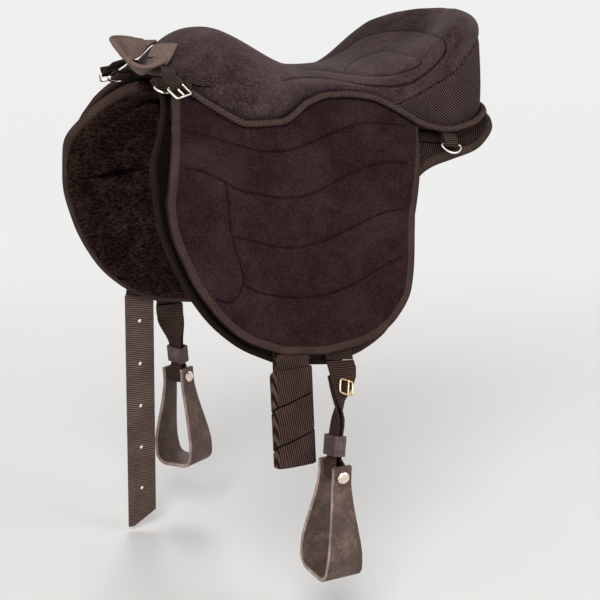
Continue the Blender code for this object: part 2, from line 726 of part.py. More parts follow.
def make_carrier(name, x, webbing):
    """Band over the back, each end folded up round its ring's upper bar."""
    fold = RING_WIRE + RING_FIT + WEBBING / 2
    over = CARRIER_OFF + WEBBING / 2
    half = CARRIER_WIDTH / 2
    bend = BARREL_RADIUS * BARREL_SLOPE
    run = [(SHEET_REACH * k / 5, over) for k in range(6)]
    run += [(mix(SHEET_REACH, bend, t), mix(over, RING_OFF - fold, ease(t))) for t in (0.25, 0.5, 0.75, 1.0)]
    run.append((RING_REACH, RING_OFF - fold))
    for k in range(1, 5):
        turn = pi * k / 5
        run.append((RING_REACH + fold * sin(turn), RING_OFF - fold * cos(turn)))
    run.append((RING_REACH, RING_OFF + fold))
    run.append((RING_REACH - CARRIER_FOLD, RING_OFF + fold))
    path = [(-1, reach, off) for reach, off in reversed(run[1:])] + [(1, reach, off) for reach, off in run]
    pairs = [(skin(x - half, reach, off, side), skin(x + half, reach, off, side)) for side, reach, off in path]
    return strip(name, pairs, WEBBING, webbing)


def make_ring(name, x, side, metal):
    """Rectangular ring whose upper bar sits in the carrier's fold."""
    half = CARRIER_WIDTH / 2 + RING_SLACK
    frame = skin_frame(x, RING_REACH + RING_DROP / 2, RING_OFF, side)
    points = [(a, b, 0.0) for a, b in rounded_box(half, RING_DROP / 2, RING_WIRE * 1.5, 2)]
    return wire(name, points, RING_WIRE, metal, closed=True, sides=1, frame=frame)


def hanging_strap(name, x, side, width, lean, end_reach, room, material, pivot):
    """Strap looped over the ring's lower bar, with room above it to swing in, then run down inside the flap."""
    fold = RING_WIRE + RING_FIT + WEBBING / 2
    bar_reach = RING_REACH + RING_DROP
    off = RING_OFF
    outer = STRAP_GAP_OFF
    top_reach = bar_reach - room
    run = [(bar_reach + CARRIER_FOLD, off - fold), (top_reach, off - fold)]
    for k in range(1, 5):
        turn = pi * k / 5
        run.append((top_reach - fold * sin(turn), off - fold * cos(turn)))
    run.append((top_reach, off + fold))
    run.append((bar_reach + CARRIER_FOLD * LOOP_STRAIGHT_SHARE, off + fold))
    steps = 4
    start = bar_reach + CARRIER_FOLD * LOOP_SETTLE_SHARE
    for k in range(steps + 1):
        run.append((mix(start, end_reach, k / steps), outer))
    pairs = []
    for reach, stand in run:
        shift = lean * ease((reach - bar_reach - CARRIER_FOLD) / (end_reach - bar_reach - CARRIER_FOLD))
        half = width / 2
        pairs.append((skin(x + shift - half, reach, stand, side), skin(x + shift + half, reach, stand, side)))
    return strip(name, pairs, WEBBING, material, pivot)


def strap_cut(x, side, end_reach):
    """Middle of the lower end of a strap that runs inside the flap."""
    return skin(x, end_reach, STRAP_GAP_OFF, side)


def bolt_place(side):
    return Vector((STIRRUP_X, side * STRAP_SPREAD, BOLT_HEIGHT))


def strand_frame(side, lean, t):
    """Middle, width direction and outward direction of the lower strap at share t of its fall."""
    top = strap_cut(STIRRUP_X + lean, side, STRAP_END_REACH)
    bolt = bolt_place(side)
    middle = top.lerp(bolt, t)
    middle.x = mix(top.x, STIRRUP_X, ease(t / STRAP_NECK_SHARE))
    middle.y = mix(top.y, bolt.y, 1 - (1 - t) ** 2)
    settled = ease((t - TWIST_START_SHARE) / (TWIST_END_SHARE - TWIST_START_SHARE))
    twist = (pi / 2 - STIRRUP_TURN[side]) * settled
    slope = -RIDGE_FALL * (1 - ease(t / TWIST_START_SHARE)) + sin(STIRRUP_TILT) * ease(t / TWIST_END_SHARE)
    across = Vector((cos(twist), -side * sin(twist), slope))
    outward = Vector((sin(twist), side * cos(twist), 0.0))
    return middle, across, outward


def strand_width(t):
    narrow = (t - NARROW_START_SHARE) / (TWIST_END_SHARE - NARROW_START_SHARE)
    return mix(STRAP_WIDTH, STRAP_NECK_WIDTH, ease(narrow)) / 2


def make_lower_strap(side, label, lean, webbing, pivot):
    """Two strands: down the outside, round the stirrup's bolt sleeve and up again to a short tail."""
    pairs = []
    turn_radius = SLEEVE_RADIUS + RING_FIT + WEBBING / 2
    steps = 12
    last = STRAND_TURN_SHARE
    for k in range(steps + 1):
        t = mix(STRAND_START_SHARE, last, k / steps)
        middle, across, outward = strand_frame(side, lean, t)
        spread = mix(0.0, STRAND_SPREAD, ease(t / STRAP_TAIL_SHARE))
        spread = mix(spread, turn_radius, ease((t - KEEPER_SHARE - STRAND_OPEN_SHARE) / (last - KEEPER_SHARE - STRAND_OPEN_SHARE)))
        half = strand_width(t)
        pairs.append((middle + outward * spread - across * half, middle + outward * spread + across * half))
    bolt, across, outward = strand_frame(side, lean, 1.0)
    half = strand_width(1.0)
    for k in range(1, 8):
        turn = pi * k / 8
        point = bolt + outward * (turn_radius * cos(turn)) - Vector((0.0, 0.0, turn_radius * sin(turn)))
        pairs.append((point - across * half, point + across * half))
    for k in range(steps + 1):
        t = mix(last, STRAP_TAIL_SHARE, k / steps)
        middle, across, outward = strand_frame(side, lean, t)
        spread = mix(STRAND_SPREAD, turn_radius, ease((t - KEEPER_SHARE - STRAND_OPEN_SHARE) / (last - KEEPER_SHARE - STRAND_OPEN_SHARE)))
        half = strand_width(t)
        pairs.append((middle - outward * spread - across * half, middle - outward * spread + across * half))
    return strip("stirrup_strap_lower_" + label, pairs, WEBBING, webbing, pivot)


def strand_matrix(side, lean, t, off):
    """Frame on the lower strap: X across it, Y up along it, Z outward."""
    middle, across, outward = strand_frame(side, lean, t)
    ahead, _, _ = strand_frame(side, lean, t + 0.02)
    up = (middle - ahead).normalized()
    across = (across - up * across.dot(up)).normalized()
    outward = across.cross(up)
    frame = Matrix((across, up, outward)).transposed().to_4x4()
    toward = 1.0 if outward.dot(strand_frame(side, lean, t)[2]) > 0 else -1.0
    frame.translation = middle + outward * off * toward
    return frame, outward * toward


def make_keeper(side, label, lean, leather, pivot):
    frame, _ = strand_matrix(side, lean, KEEPER_SHARE, 0.0)
    inner_a = strand_width(KEEPER_SHARE) + LAYER_GAP * 2.4
    inner_b = STRAND_SPREAD + WEBBING / 2 + LAYER_GAP * 2
    outer = rounded_box(inner_a + KEEPER_WALL, inner_b + KEEPER_WALL, KEEPER_WALL, 2)
    inner = rounded_box(inner_a, inner_b, LAYER_GAP, 2)
    turn = Matrix.Rotation(pi / 2, 4, "X")
    return plate("keeper_" + label, (outer, inner), KEEPER_LENGTH, leather, frame @ turn, pivot)


def make_strap_buckle(side, label, lean, brass, pivot):
    """Frame of the strap's buckle lies on the outer strand; its tongue rests on the frame."""
    off = STRAND_SPREAD + WEBBING / 2 + STRAP_BUCKLE_REST[side] + BUCKLE_WIRE
    frame, outward = strand_matrix(side, lean, STRAP_BUCKLE_SHARE, off)
    half = strand_width(STRAP_BUCKLE_SHARE)
    points = [(a, b, 0.0) for a, b in rounded_box(half * 0.62, STRAP_BUCKLE_HEIGHT / 2, BUCKLE_WIRE * 2, 2)]
    ring = wire("stirrup_buckle_" + label, points, BUCKLE_WIRE, brass, closed=True, sides=1, frame=frame, pivot=pivot)
    lift = BUCKLE_WIRE * 2 + TOUCH_GAP
    way = 1.0 if (frame.to_3x3() @ Vector((0, 0, 1))).dot(outward) > 0 else -1.0
    top = (0.0, STRAP_BUCKLE_HEIGHT / 2, lift * way)
    end = (0.0, -STRAP_BUCKLE_HEIGHT / 2 - BUCKLE_WIRE, lift * way)
    tongue = rod("stirrup_tongue_" + label, BUCKLE_WIRE * 0.9, frame @ Vector(top), frame @ Vector(end),
                 brass, pivot=frame @ Vector(top), sides=8)
    return ring, tongue


def stirrup_tilt(side):
    """The stirrup leans a little towards the saddle about its bolt; the right one also hangs turned."""
    turn = Matrix.Rotation(STIRRUP_TURN[side], 4, "Z")
    return Matrix.Translation(bolt_place(side)) @ turn @ Matrix.Rotation(-side * STIRRUP_TILT, 4, "X")


STIRRUP_OUTLINE_SHARES = ((-0.10, 0.505), (0.0, 0.505), (0.065, 0.505), (0.13, 0.535), (0.28, 0.64), (0.45, 0.79),
                          (0.62, 0.93),
                          (0.74, 1.0), (0.84, 0.985))


def make_stirrup(side, label, leather):
    """Bent band: down one branch, across the tread and up the other, wider at the tread."""
    run = []
    for share, wide in STIRRUP_OUTLINE_SHARES:
        run.append((STIRRUP_HALF_WIDTH * wide, -STIRRUP_HEIGHT * share))
    corner = (STIRRUP_HALF_WIDTH * 0.985 - STIRRUP_TREAD_RADIUS, -STIRRUP_HEIGHT + STIRRUP_TREAD_RADIUS)
    for k in range(1, 5):
        turn = pi / 2 * k / 4
        run.append((corner[0] + STIRRUP_TREAD_RADIUS * cos(turn), corner[1] - STIRRUP_TREAD_RADIUS * sin(turn)))
    full = run + [(-a, b) for a, b in reversed(run)]
    pairs = []
    frame = stirrup_tilt(side)
    for across, height in full:
        share = ease(-height / STIRRUP_HEIGHT)
        depth = mix(STIRRUP_TOP_DEPTH, STIRRUP_TREAD_DEPTH, share)
        lead = mix(STIRRUP_TOP_DEPTH / 2, STIRRUP_TREAD_DEPTH / 2, share)
        pairs.append((frame @ Vector((-lead, across, height)), frame @ Vector((depth - lead, across, height))))
    item = strip("stirrup_" + label, pairs, STIRRUP_SKIN, leather, bolt_place(side))
    reach = STIRRUP_HALF_WIDTH
    drill = rod("bolt_hole_" + label, BOLT_RADIUS + TOUCH_GAP, frame @ Vector((0, -reach, 0)),
                frame @ Vector((0, reach, 0)), None, group=CUTTERS)
    cut(item, drill)
    return item


def make_bolt(side, label, nickel, brass):
    frame = stirrup_tilt(side)
    inside = STIRRUP_HALF_WIDTH * 0.505
    face = inside + STIRRUP_SKIN / 2 + TOUCH_GAP
    head = face + BOLT_HEAD_DEPTH
    bm = bmesh.new()
    turns = ((-head, BOLT_HEAD_RADIUS * 0.7), (-head + BOLT_HEAD_DEPTH / 2, BOLT_HEAD_RADIUS),
             (-face, BOLT_HEAD_RADIUS), (-face, BOLT_RADIUS), (face, BOLT_RADIUS), (face, BOLT_HEAD_RADIUS),
             (head - BOLT_HEAD_DEPTH / 2, BOLT_HEAD_RADIUS), (head, BOLT_HEAD_RADIUS * 0.7))
    chain = [bm.verts.new((0.0, 0.0, turns[0][0]))]
    chain += [bm.verts.new((radius, 0.0, place)) for place, radius in turns]
    chain.append(bm.verts.new((0.0, 0.0, turns[-1][0])))
    edges = [bm.edges.new(pair) for pair in zip(chain, chain[1:])]
    bmesh.ops.spin(bm, geom=chain + edges, axis=(0, 0, 1), cent=(0, 0, 0), angle=2 * pi,
                   steps=ROUND_STEPS, use_merge=True)
    bmesh.ops.remove_doubles(bm, verts=bm.verts[:], dist=0.00001)
    bmesh.ops.transform(bm, matrix=frame @ Matrix.Rotation(pi / 2, 4, "X"), verts=bm.verts[:])
    bolt = place_mesh("stirrup_bolt_" + label, mesh_from(bm, "stirrup_bolt_" + label), nickel, bolt_place(side))
    half = SLEEVE_LENGTH / 2
    tube_frame = frame @ Matrix.Rotation(pi / 2, 4, "X")
    turns = [2 * pi * k / ROUND_STEPS for k in range(ROUND_STEPS)]
    ring = [(cos(turn), sin(turn)) for turn in turns]
    outer = [(SLEEVE_RADIUS * a, SLEEVE_RADIUS * b) for a, b in ring]
    inner = [((BOLT_RADIUS + TOUCH_GAP) * a, (BOLT_RADIUS + TOUCH_GAP) * b) for a, b in ring]
    sleeve = plate("bolt_sleeve_" + label, (outer, inner), half * 2, brass, tube_frame, bolt_place(side))
    return bolt, sleeve


# Girth strap and billet

def girth_cut(side):
    return skin(GIRTH_X + GIRTH_LEAN[side], GIRTH_END_REACH, GIRTH_GAP_OFF, side)


def girth_hinge(side):
    """The hanging part turns about the outer face of its upper edge."""
    return skin(GIRTH_X + GIRTH_LEAN[side], GIRTH_END_REACH, GIRTH_GAP_OFF + BILLET_THICK / 2, side)


def make_billet(side, webbing, pivot):
    """Punched billet below the flap, its end cut on the slant."""
    top = girth_cut(side) + Vector((0.0, 0.0, -TOUCH_GAP))
    half = BILLET_WIDTH / 2
    frame = Matrix.Translation(top) @ Matrix.Rotation(side * atan2(BILLET_FLARE, BILLET_LENGTH), 4, "X")
    frame = frame @ Matrix.Rotation(pi / 2, 4, "X")
    slope = half * RIDGE_FALL
    outline = [(-half, slope), (half, -slope), (half, -BILLET_LENGTH + BILLET_TIP_DROP), (-half * 0.6, -BILLET_LENGTH),
               (-half, -BILLET_LENGTH)]
    holes = []
    for k in range(BILLET_HOLES):
        middle = -BILLET_FIRST_HOLE - k * BILLET_HOLE_PITCH
        ring = [2 * pi * n / 10 for n in range(10)]
        holes.append([(BILLET_HOLE_RADIUS * cos(a), middle + BILLET_HOLE_RADIUS * sin(a)) for a in ring])
    return plate("girth_billet_right", [outline] + holes, BILLET_THICK, webbing, frame, pivot)


def make_roll(side, webbing, pivot):
    """Long girth strap put away: folded in layers, with its free end wound round them."""
    top = girth_cut(side) + Vector((0.0, 0.0, -TOUCH_GAP))
    frame = Matrix.Translation(top) @ Matrix.Rotation(side * atan2(ROLL_FLARE, ROLL_LENGTH), 4, "X")
    half = GIRTH_WIDTH / 2 - ROLL_WRAP_OFF
    bend = ROLL_LAYER_PITCH / 2
    run = []
    for layer in range(ROLL_LAYERS):
        ends = (0.0, -ROLL_LENGTH + bend * 2) if layer % 2 == 0 else (-ROLL_LENGTH + bend * 2, -bend * 2)
        place = side * layer * ROLL_LAYER_PITCH
        run.append((place, ends[0]))
        run.append((place, ends[1]))
        if layer < ROLL_LAYERS - 1:
            down = -1 if layer % 2 == 0 else 1
            for k in range(1, 4):
                turn = pi * k / 4
                run.append((place + side * bend * (1 - cos(turn)), ends[1] + down * bend * sin(turn)))
    pairs = []
    for a, b in run:
        slope = half * RIDGE_FALL * (1 + b / ROLL_LENGTH)
        pairs.append((frame @ Vector((-half, a, b + slope)), frame @ Vector((half, a, b - slope))))
    core = strip("girth_strap_folded_left", pairs, WEBBING, webbing, pivot)

    stack = ROLL_LAYER_PITCH * (ROLL_LAYERS - 1) / 2
    wide = half + ROLL_WRAP_OFF + WEBBING / 2
    thick = stack + WEBBING / 2 + ROLL_WRAP_OFF + WEBBING / 2
    ceiling = -ROLL_LAYER_PITCH * 1.5
    floor = -ROLL_LENGTH - ROLL_LAYER_PITCH
    steps = round(ROLL_TURNS * ROUND_STEPS)
    wrap = []
    for k in range(steps + 1):
        turn = 2 * pi * ROLL_TURNS * k / steps
        level = ceiling - ROLL_WRAP_WIDTH * ROLL_START_SHARE - ROLL_WRAP_PITCH * turn / (2 * pi)
        a, b = cos(turn), sin(turn)
        square = max(abs(a), abs(b)) ** ROLL_CORNER_SHARE
        across, out = wide * a / square, side * (stack + thick * b / square)
        upper = min(ceiling, level + ROLL_WRAP_WIDTH / 2)
        lower = max(floor, level - ROLL_WRAP_WIDTH / 2)
        if upper - lower > ROLL_LAYER_PITCH:
            wrap.append((frame @ Vector((across, out, upper)), frame @ Vector((across, out, lower))))
    winding = strip("girth_strap_wound_left", wrap, WEBBING, webbing, pivot)
    return core, winding


# Handle, its buckles and the D-rings

def make_handle(suede, pivot):
    """Soft loop sewn to the front of the pommel, its left side lying lower and flatter than its right."""
    half = HANDLE_WIDTH / 2
    pairs = []
    for along, across, up, width in HANDLE_SHARES:
        middle = Vector((-HANDLE_BACK - HANDLE_REACH * along, HANDLE_HALF_SPAN * across, HANDLE_LOW + HANDLE_DROP * up))
        aside = Vector(width).normalized() * half
        pairs.append((middle - aside, middle + aside))
    return strip("handle", pairs, HANDLE_THICK, suede, pivot)


def buckle_frame(side):
    """The front buckle lies over the seat's front corner, turned up to the rear."""
    frame = skin_frame(HANDLE_BUCKLE_X, HANDLE_BUCKLE_REACH, HANDLE_BUCKLE_OFF, side)
    return frame @ Matrix.Rotation(-HANDLE_BUCKLE_TURN, 4, "Z")


def make_handle_strap(side, label, webbing):
    """Webbing from the handle's end down to the buckle's upper bar, folded round it."""
    frame = buckle_frame(side)
    half = HANDLE_STRAP_WIDTH / 2
    fold = BUCKLE_WIRE + TOUCH_GAP + WEBBING / 2
    bar = -HANDLE_BUCKLE_WIDTH / 2
    local = [(0.0, bar - HANDLE_BUCKLE_WIDTH * 0.55, fold), (0.0, bar, fold)]
    for k in range(1, 4):
        turn = pi * k / 4
        local.append((0.0, bar + fold * sin(turn), fold * cos(turn)))
    local.append((0.0, bar, -fold))
    local.append((0.0, bar - HANDLE_BUCKLE_WIDTH * 0.4, -fold))
    path = [frame @ Vector(point) for point in local]
    x, across, height = HANDLE_STRAP_TOP
    start = Vector((x, side * across, height))
    path.append(path[-1].lerp(start, 0.5) + Vector((0.0, 0.0, PIPING_RADIUS)))
    path.append(start)
    aside = (frame.to_3x3() @ Vector((1, 0, 0))).normalized()
    fore = Vector((1.0, 0.0, -RIDGE_FALL)).normalized()
    last = len(path) - 1
    pairs = []
    for k, point in enumerate(path):
        width = aside.lerp(fore, ease((k - last + 2) / 2)).normalized() * half
        pairs.append((point - width, point + width))
    return strip("handle_strap_" + label, pairs, WEBBING, webbing)


def make_handle_buckle(side, label, nickel):
    frame = buckle_frame(side)
    half_a, half_b = HANDLE_BUCKLE_LENGTH / 2, HANDLE_BUCKLE_WIDTH / 2
    points = [(a, b, 0.0) for a, b in rounded_box(half_a, half_b, BUCKLE_WIRE * 1.6, 2)]
    ring = wire("handle_buckle_" + label, points, BUCKLE_WIRE, nickel, closed=True, sides=1, frame=frame)
    lift = BUCKLE_WIRE * 2 + TOUCH_GAP
    start = frame @ Vector((-half_a * TONGUE_PLACE_SHARE, half_b, lift))
    end = frame @ Vector((-half_a * TONGUE_PLACE_SHARE, -half_b * TONGUE_END_SHARE, lift))
    tongue = rod("handle_tongue_" + label, BUCKLE_WIRE * 0.9, start, end, nickel, pivot=start, sides=8)
    return ring, tongue


def seat_skin(x, row, side, off):
    """Point standing off the seat's own surface, and the direction down its side there."""
    def on(x_at, row_at):
        across, height = seat_profile(x_at, row_at)
        return Vector((x_at, side * across, height))

    here = on(x, row)
    down = (on(x, row + 0.04) - on(x, row - 0.04)).normalized()
    fore = (on(x + SEAT_LIP, row) - on(x - SEAT_LIP, row)).normalized()
    outward = fore.cross(down) * side
    return here + outward.normalized() * off, down


def make_tail(side, label, webbing):
    """Strap end that leaves the buckle and lies back along the seat's side."""
    frame = buckle_frame(side)
    start = frame @ Vector((HANDLE_BUCKLE_LENGTH / 2 + BUCKLE_WIRE + LAYER_GAP, 0.0, BUCKLE_WIRE))
    along = (frame.to_3x3() @ Vector((0, 1, 0))).normalized()
    half = TAIL_WIDTH / 2
    pairs = [(start - along * half, start + along * half)]
    for k in range(1, 4):
        middle, down = seat_skin(start.x + TAIL_LENGTH * k / 3, 0.91 - 0.015 * k, side, WEBBING / 2 + LAYER_GAP * 1.5)
        pairs.append((middle - down * half, middle + down * half))
    return strip("handle_tail_" + label, pairs, WEBBING, webbing)


def make_d_ring(name, where, side, radius, bow, nickel, webbing):
    """D-ring on a folded webbing tab; its straight bar lies in the fold."""
    frame = skin_frame(*where, side)
    points = [(-radius, 0.0, 0.0), (radius, 0.0, 0.0)]
    count = 9
    for k in range(1, count):
        turn = pi * k / count
        points.append((radius * cos(turn), radius * sin(turn) * bow, 0.0))
    pivot = frame @ Vector((0.0, 0.0, 0.0))
    ring = wire(name, points, D_WIRE, nickel, closed=True, sides=1, frame=frame, pivot=pivot)
    fold = D_WIRE + TOUCH_GAP + WEBBING / 2
    local = [(0.0, -TAB_WIDTH, -fold), (0.0, 0.0, -fold)]
    for k in range(1, 4):
        turn = pi * k / 4
        local.append((0.0, fold * sin(turn), -fold * cos(turn)))
    local.append((0.0, 0.0, fold))
    local.append((0.0, -TAB_WIDTH * 0.7, fold))
    half = min(TAB_WIDTH / 2, radius - D_WIRE * 2)
    pairs = []
    for point in local:
        middle = frame @ Vector(point)
        fore = (frame.to_3x3() @ Vector((1, 0, 0))).normalized()
        pairs.append((middle - fore * half, middle + fore * half))
    tab = strip(name + "_tab", pairs, WEBBING, webbing)
    return ring, tab


def main():
    start_scene()
    suede = (0.060, 0.047, 0.046)
    nickel_colour = (0.62, 0.57, 0.52)
    brass_colour = (0.70, 0.50, 0.28)
    leather_colour = (0.16, 0.115, 0.085)
    webbing_colour = (0.075, 0.06, 0.05)

    def own(name, colour, roughness, metallic=0.0):
        return finish("finish_" + name, colour, roughness, metallic)

    make_base_sheet(own("base_sheet", webbing_colour, 0.8))
    make_fork(own("pommel_fork", (0.03, 0.03, 0.03), 0.5))
    make_cantle_plate(own("cantle_plate", (0.03, 0.03, 0.03), 0.5))
    make_seat(own("seat_cushion", suede, 0.95))
    make_riser(own("cantle_riser", (0.05, 0.042, 0.038), 0.9))
    make_piping(own("seat_piping", (0.07, 0.058, 0.05), 0.85))
    make_carrier("stirrup_carrier", STIRRUP_X, own("stirrup_carrier", webbing_colour, 0.85))
    make_carrier("girth_carrier", GIRTH_X, own("girth_carrier", webbing_colour, 0.85))
    make_handle(own("handle", (0.13, 0.10, 0.085), 0.9), Vector((HANDLE_WIDTH * 0.35 - HANDLE_BACK, 0.0, HANDLE_LOW + HANDLE_DROP)))
    for side, label in ((-1, "left"), (1, "right")):
        lean = STRAP_LEAN[side]
        make_panel(side, label, own("panel_" + label, (0.055, 0.046, 0.042), 0.9))
        make_fleece(side, label, own("fleece_" + label, (0.05, 0.035, 0.025), 1.0))
        make_flap_top(side, label, own("flap_top_" + label, suede, 0.95))
        make_flap(side, label, own("flap_" + label, suede, 0.95))
        make_knee_block(side, label, own("knee_block_" + label, (0.04, 0.04, 0.04), 0.9))
        swing = skin(STIRRUP_X - SWING_AHEAD, RING_REACH + RING_DROP, RING_OFF, side)
        make_ring("stirrup_ring_" + label, STIRRUP_X, side, own("stirrup_ring_" + label, nickel_colour, 0.3, 1.0))
        make_ring("girth_ring_" + label, GIRTH_X, side, own("girth_ring_" + label, nickel_colour, 0.3, 1.0))
        hanging_strap("stirrup_strap_upper_" + label, STIRRUP_X, side, STRAP_WIDTH, lean, STRAP_END_REACH,
                      STRAP_LOOP_ROOM, own("stirrup_strap_upper_" + label, webbing_colour, 0.85), swing)
        spread = skin(STIRRUP_X + lean, STRAP_END_REACH, STRAP_GAP_OFF + WEBBING / 2, side)
        make_lower_strap(side, label, lean, own("stirrup_strap_lower_" + label, webbing_colour, 0.85), spread)
        make_keeper(side, label, lean, own("keeper_" + label, leather_colour, 0.6), spread)
        make_strap_buckle(side, label, lean, own("stirrup_buckle_" + label, brass_colour, 0.3, 1.0), spread)
        make_stirrup(side, label, own("stirrup_" + label, leather_colour, 0.6))
        make_bolt(side, label, own("stirrup_bolt_" + label, nickel_colour, 0.3, 1.0),
                  own("bolt_sleeve_" + label, brass_colour, 0.4, 1.0))
        hanging_strap("girth_strap_upper_" + label, GIRTH_X, side, CARRIER_WIDTH, GIRTH_LEAN[side], GIRTH_END_REACH,
                      0.0, own("girth_strap_upper_" + label, webbing_colour, 0.85), None)
        make_handle_strap(side, label, own("handle_strap_" + label, webbing_colour, 0.85))
        make_handle_buckle(side, label, own("handle_buckle_" + label, nickel_colour, 0.3, 1.0))
        make_tail(side, label, own("handle_tail_" + label, webbing_colour, 0.85))
        for name, where, radius, bow in (("rear_d_ring_" + label, REAR_D_PLACE, REAR_D_RADIUS, REAR_D_BOW_SHARE),
                                         ("front_d_ring_" + label, FRONT_D_PLACE, FRONT_D_RADIUS, FRONT_D_BOW_SHARE)):
            make_d_ring(name, where, side, radius, bow, own(name, nickel_colour, 0.3, 1.0),
                        own(name + "_tab", webbing_colour, 0.85))
    make_billet(1, own("girth_billet_right", webbing_colour, 0.85), girth_hinge(1))
    make_roll(-1, own("girth_strap_left", webbing_colour, 0.85), girth_hinge(-1))


main()
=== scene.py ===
# %% [markdown]
# A treeless saddle, dressed for its picture.
# The solids of the saddle come ready made, in metres, with the pommel at -X, the horse's left side at -Y
# and +Z up. This notebook puts the soft and visible surfaces over them: suede covers with quilting,
# a rope-like piping, bound edges, curly fleece, ribbed webbing, waxed leather, nickel and brass.

# %% Load the frame
import json
import bpy
import numpy as np
from math import radians, sin, cos, pi
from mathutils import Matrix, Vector


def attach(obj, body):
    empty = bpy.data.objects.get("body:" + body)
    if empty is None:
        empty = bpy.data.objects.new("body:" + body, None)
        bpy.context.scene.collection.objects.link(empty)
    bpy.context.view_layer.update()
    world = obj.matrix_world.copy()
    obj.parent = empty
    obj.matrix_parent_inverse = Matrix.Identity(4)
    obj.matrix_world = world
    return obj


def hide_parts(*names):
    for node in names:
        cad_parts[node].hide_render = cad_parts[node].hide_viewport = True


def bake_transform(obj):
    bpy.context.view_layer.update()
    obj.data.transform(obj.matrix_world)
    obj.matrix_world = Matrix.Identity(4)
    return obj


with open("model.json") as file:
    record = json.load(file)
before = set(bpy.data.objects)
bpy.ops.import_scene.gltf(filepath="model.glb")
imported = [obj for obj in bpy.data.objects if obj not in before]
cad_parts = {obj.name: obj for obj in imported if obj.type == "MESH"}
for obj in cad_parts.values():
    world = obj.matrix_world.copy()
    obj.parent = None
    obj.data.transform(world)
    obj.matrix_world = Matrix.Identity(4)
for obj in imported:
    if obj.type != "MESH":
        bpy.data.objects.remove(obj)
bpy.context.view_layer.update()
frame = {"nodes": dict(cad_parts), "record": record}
nodes = frame["nodes"]
owner = {node: body for body, members in frame["record"]["behaviour"]["bodies"].items() for node in members}
SIDES = ((-1, "left"), (1, "right"))

# %% [markdown]
# The picture was taken from the saddle's front left, a little above it, with a long lens, so the far
# stirrup is hardly smaller than the near one.

# %% Camera
AZIMUTH, ELEVATION = radians(-29), radians(14)
DISTANCE = 2.052
FOCAL_PIXELS, FRAME_PIXELS = 1450, 600
SENSOR = 36.0
TARGET = Vector((0.0, 0.0, -0.255))
back = Vector((sin(AZIMUTH) * cos(ELEVATION), -cos(AZIMUTH) * cos(ELEVATION), sin(ELEVATION)))
bpy.ops.object.camera_add(location=TARGET + back * DISTANCE)
camera = bpy.context.object
camera.rotation_mode = "QUATERNION"
camera.rotation_quaternion = (-back).to_track_quat("-Z", "Y")
camera.data.sensor_width = SENSOR
camera.data.lens = SENSOR * FOCAL_PIXELS / FRAME_PIXELS
bpy.context.scene.camera = camera
print("lens:", round(camera.data.lens, 1), "mm")

# %% [markdown]
# Shader maths reads best as arithmetic. A small class wraps a socket and turns + - * / into Math nodes,
# so a pattern is written as an expression. Every node comes from one method, which sets the node's
# settings and then its inputs, each either a value or a link.

# %% Shader expressions


def math_node(operation, swapped=False):
    """A method that makes one Math node from the signal and, where there is one, another value."""
    def method(self, other=None):
        values = [v for v in (self, other) if v is not None]
        if swapped:
            values.reverse()
        return self.graph.node("ShaderNodeMath", dict(enumerate(values)), operation=operation)
    return method


class Signal:
    """A number, colour or vector that varies over the surface."""

    def __init__(self, graph, socket):
        self.graph, self.socket = graph, socket

    __add__ = __radd__ = math_node("ADD")
    __mul__ = __rmul__ = math_node("MULTIPLY")
    __sub__, __rsub__ = math_node("SUBTRACT"), math_node("SUBTRACT", swapped=True)
    __truediv__, __pow__ = math_node("DIVIDE"), math_node("POWER")
    size, fraction, sine = math_node("ABSOLUTE"), math_node("FRACT"), math_node("SINE")
    larger = math_node("MAXIMUM")

    def wave(self, length):
        return (self * (2 * pi / length)).sine()


class Graph:
    """A node tree, built by expression."""

    def __init__(self, tree):
        self.tree = tree

    def node(self, kind, inputs, output=0, **settings):
        item = self.tree.nodes.new(kind)
        for key, value in settings.items():
            setattr(item, key, value)
        for key, value in inputs.items():
            self.feed(item.inputs[key], value)
        return Signal(self, item.outputs[output])

    def feed(self, socket, value):
        if isinstance(value, Signal):
            self.tree.links.new(value.socket, socket)
        else:
            socket.default_value = value


class Finish(Graph):
    """One material, with the patterns that feed its shader."""

    def __init__(self, name, colour, roughness, metallic=0.0, **constants):
        self.material = bpy.data.materials.new(name)
        self.material.use_nodes = True
        super().__init__(self.material.node_tree)
        self.shader = self.tree.nodes["Principled BSDF"]
        self.set("Base Color", (*colour, 1.0))
        self.set("Roughness", roughness)
        self.set("Metallic", metallic)
        for key, value in constants.items():
            self.set(key.replace("_", " "), value)

    def set(self, name, value):
        self.feed(self.shader.inputs[name], value)

    def place(self):
        return self.node("ShaderNodeTexCoord", {}, "Object")

    def uv(self):
        return self.node("ShaderNodeUVMap", {}, uv_map="weave")

    def parts(self, vector):
        split = self.node("ShaderNodeSeparateXYZ", {0: vector}).socket.node
        return [Signal(self, out) for out in split.outputs]

    def along(self, direction):
        inputs = {0: self.place(), 1: direction}
        return self.node("ShaderNodeVectorMath", inputs, "Value", operation="DOT_PRODUCT")

    def noise(self, scale, detail=3.0, roughness=0.6, stretch=None):
        vector = self.place()
        if stretch:
            vector = self.node("ShaderNodeVectorMath", {0: vector, 1: stretch}, operation="MULTIPLY")
        inputs = {"Vector": vector, "Scale": scale, "Detail": detail, "Roughness": roughness}
        return self.node("ShaderNodeTexNoise", inputs, "Fac")

    def ramp(self, factor, low, high):
        """Smooth step of a signal between two levels."""
        inputs = {"Value": factor, "From Min": low, "From Max": high}
        return self.node("ShaderNodeMapRange", inputs, interpolation_type="SMOOTHSTEP")

    def blend(self, factor, *colours):
        first, second = (c if isinstance(c, Signal) else (*c, 1.0) for c in colours)
        return self.node("ShaderNodeMix", {0: factor, 6: first, 7: second}, 2, data_type="RGBA")

    def done(self, colour, height, depth, strength):
        """The material, once it has its colour and its relief."""
        inputs = {"Height": height, "Distance": depth, "Strength": strength}
        self.set("Base Color", colour)
        self.set("Normal", self.node("ShaderNodeBump", inputs, "Normal"))
        return self.material


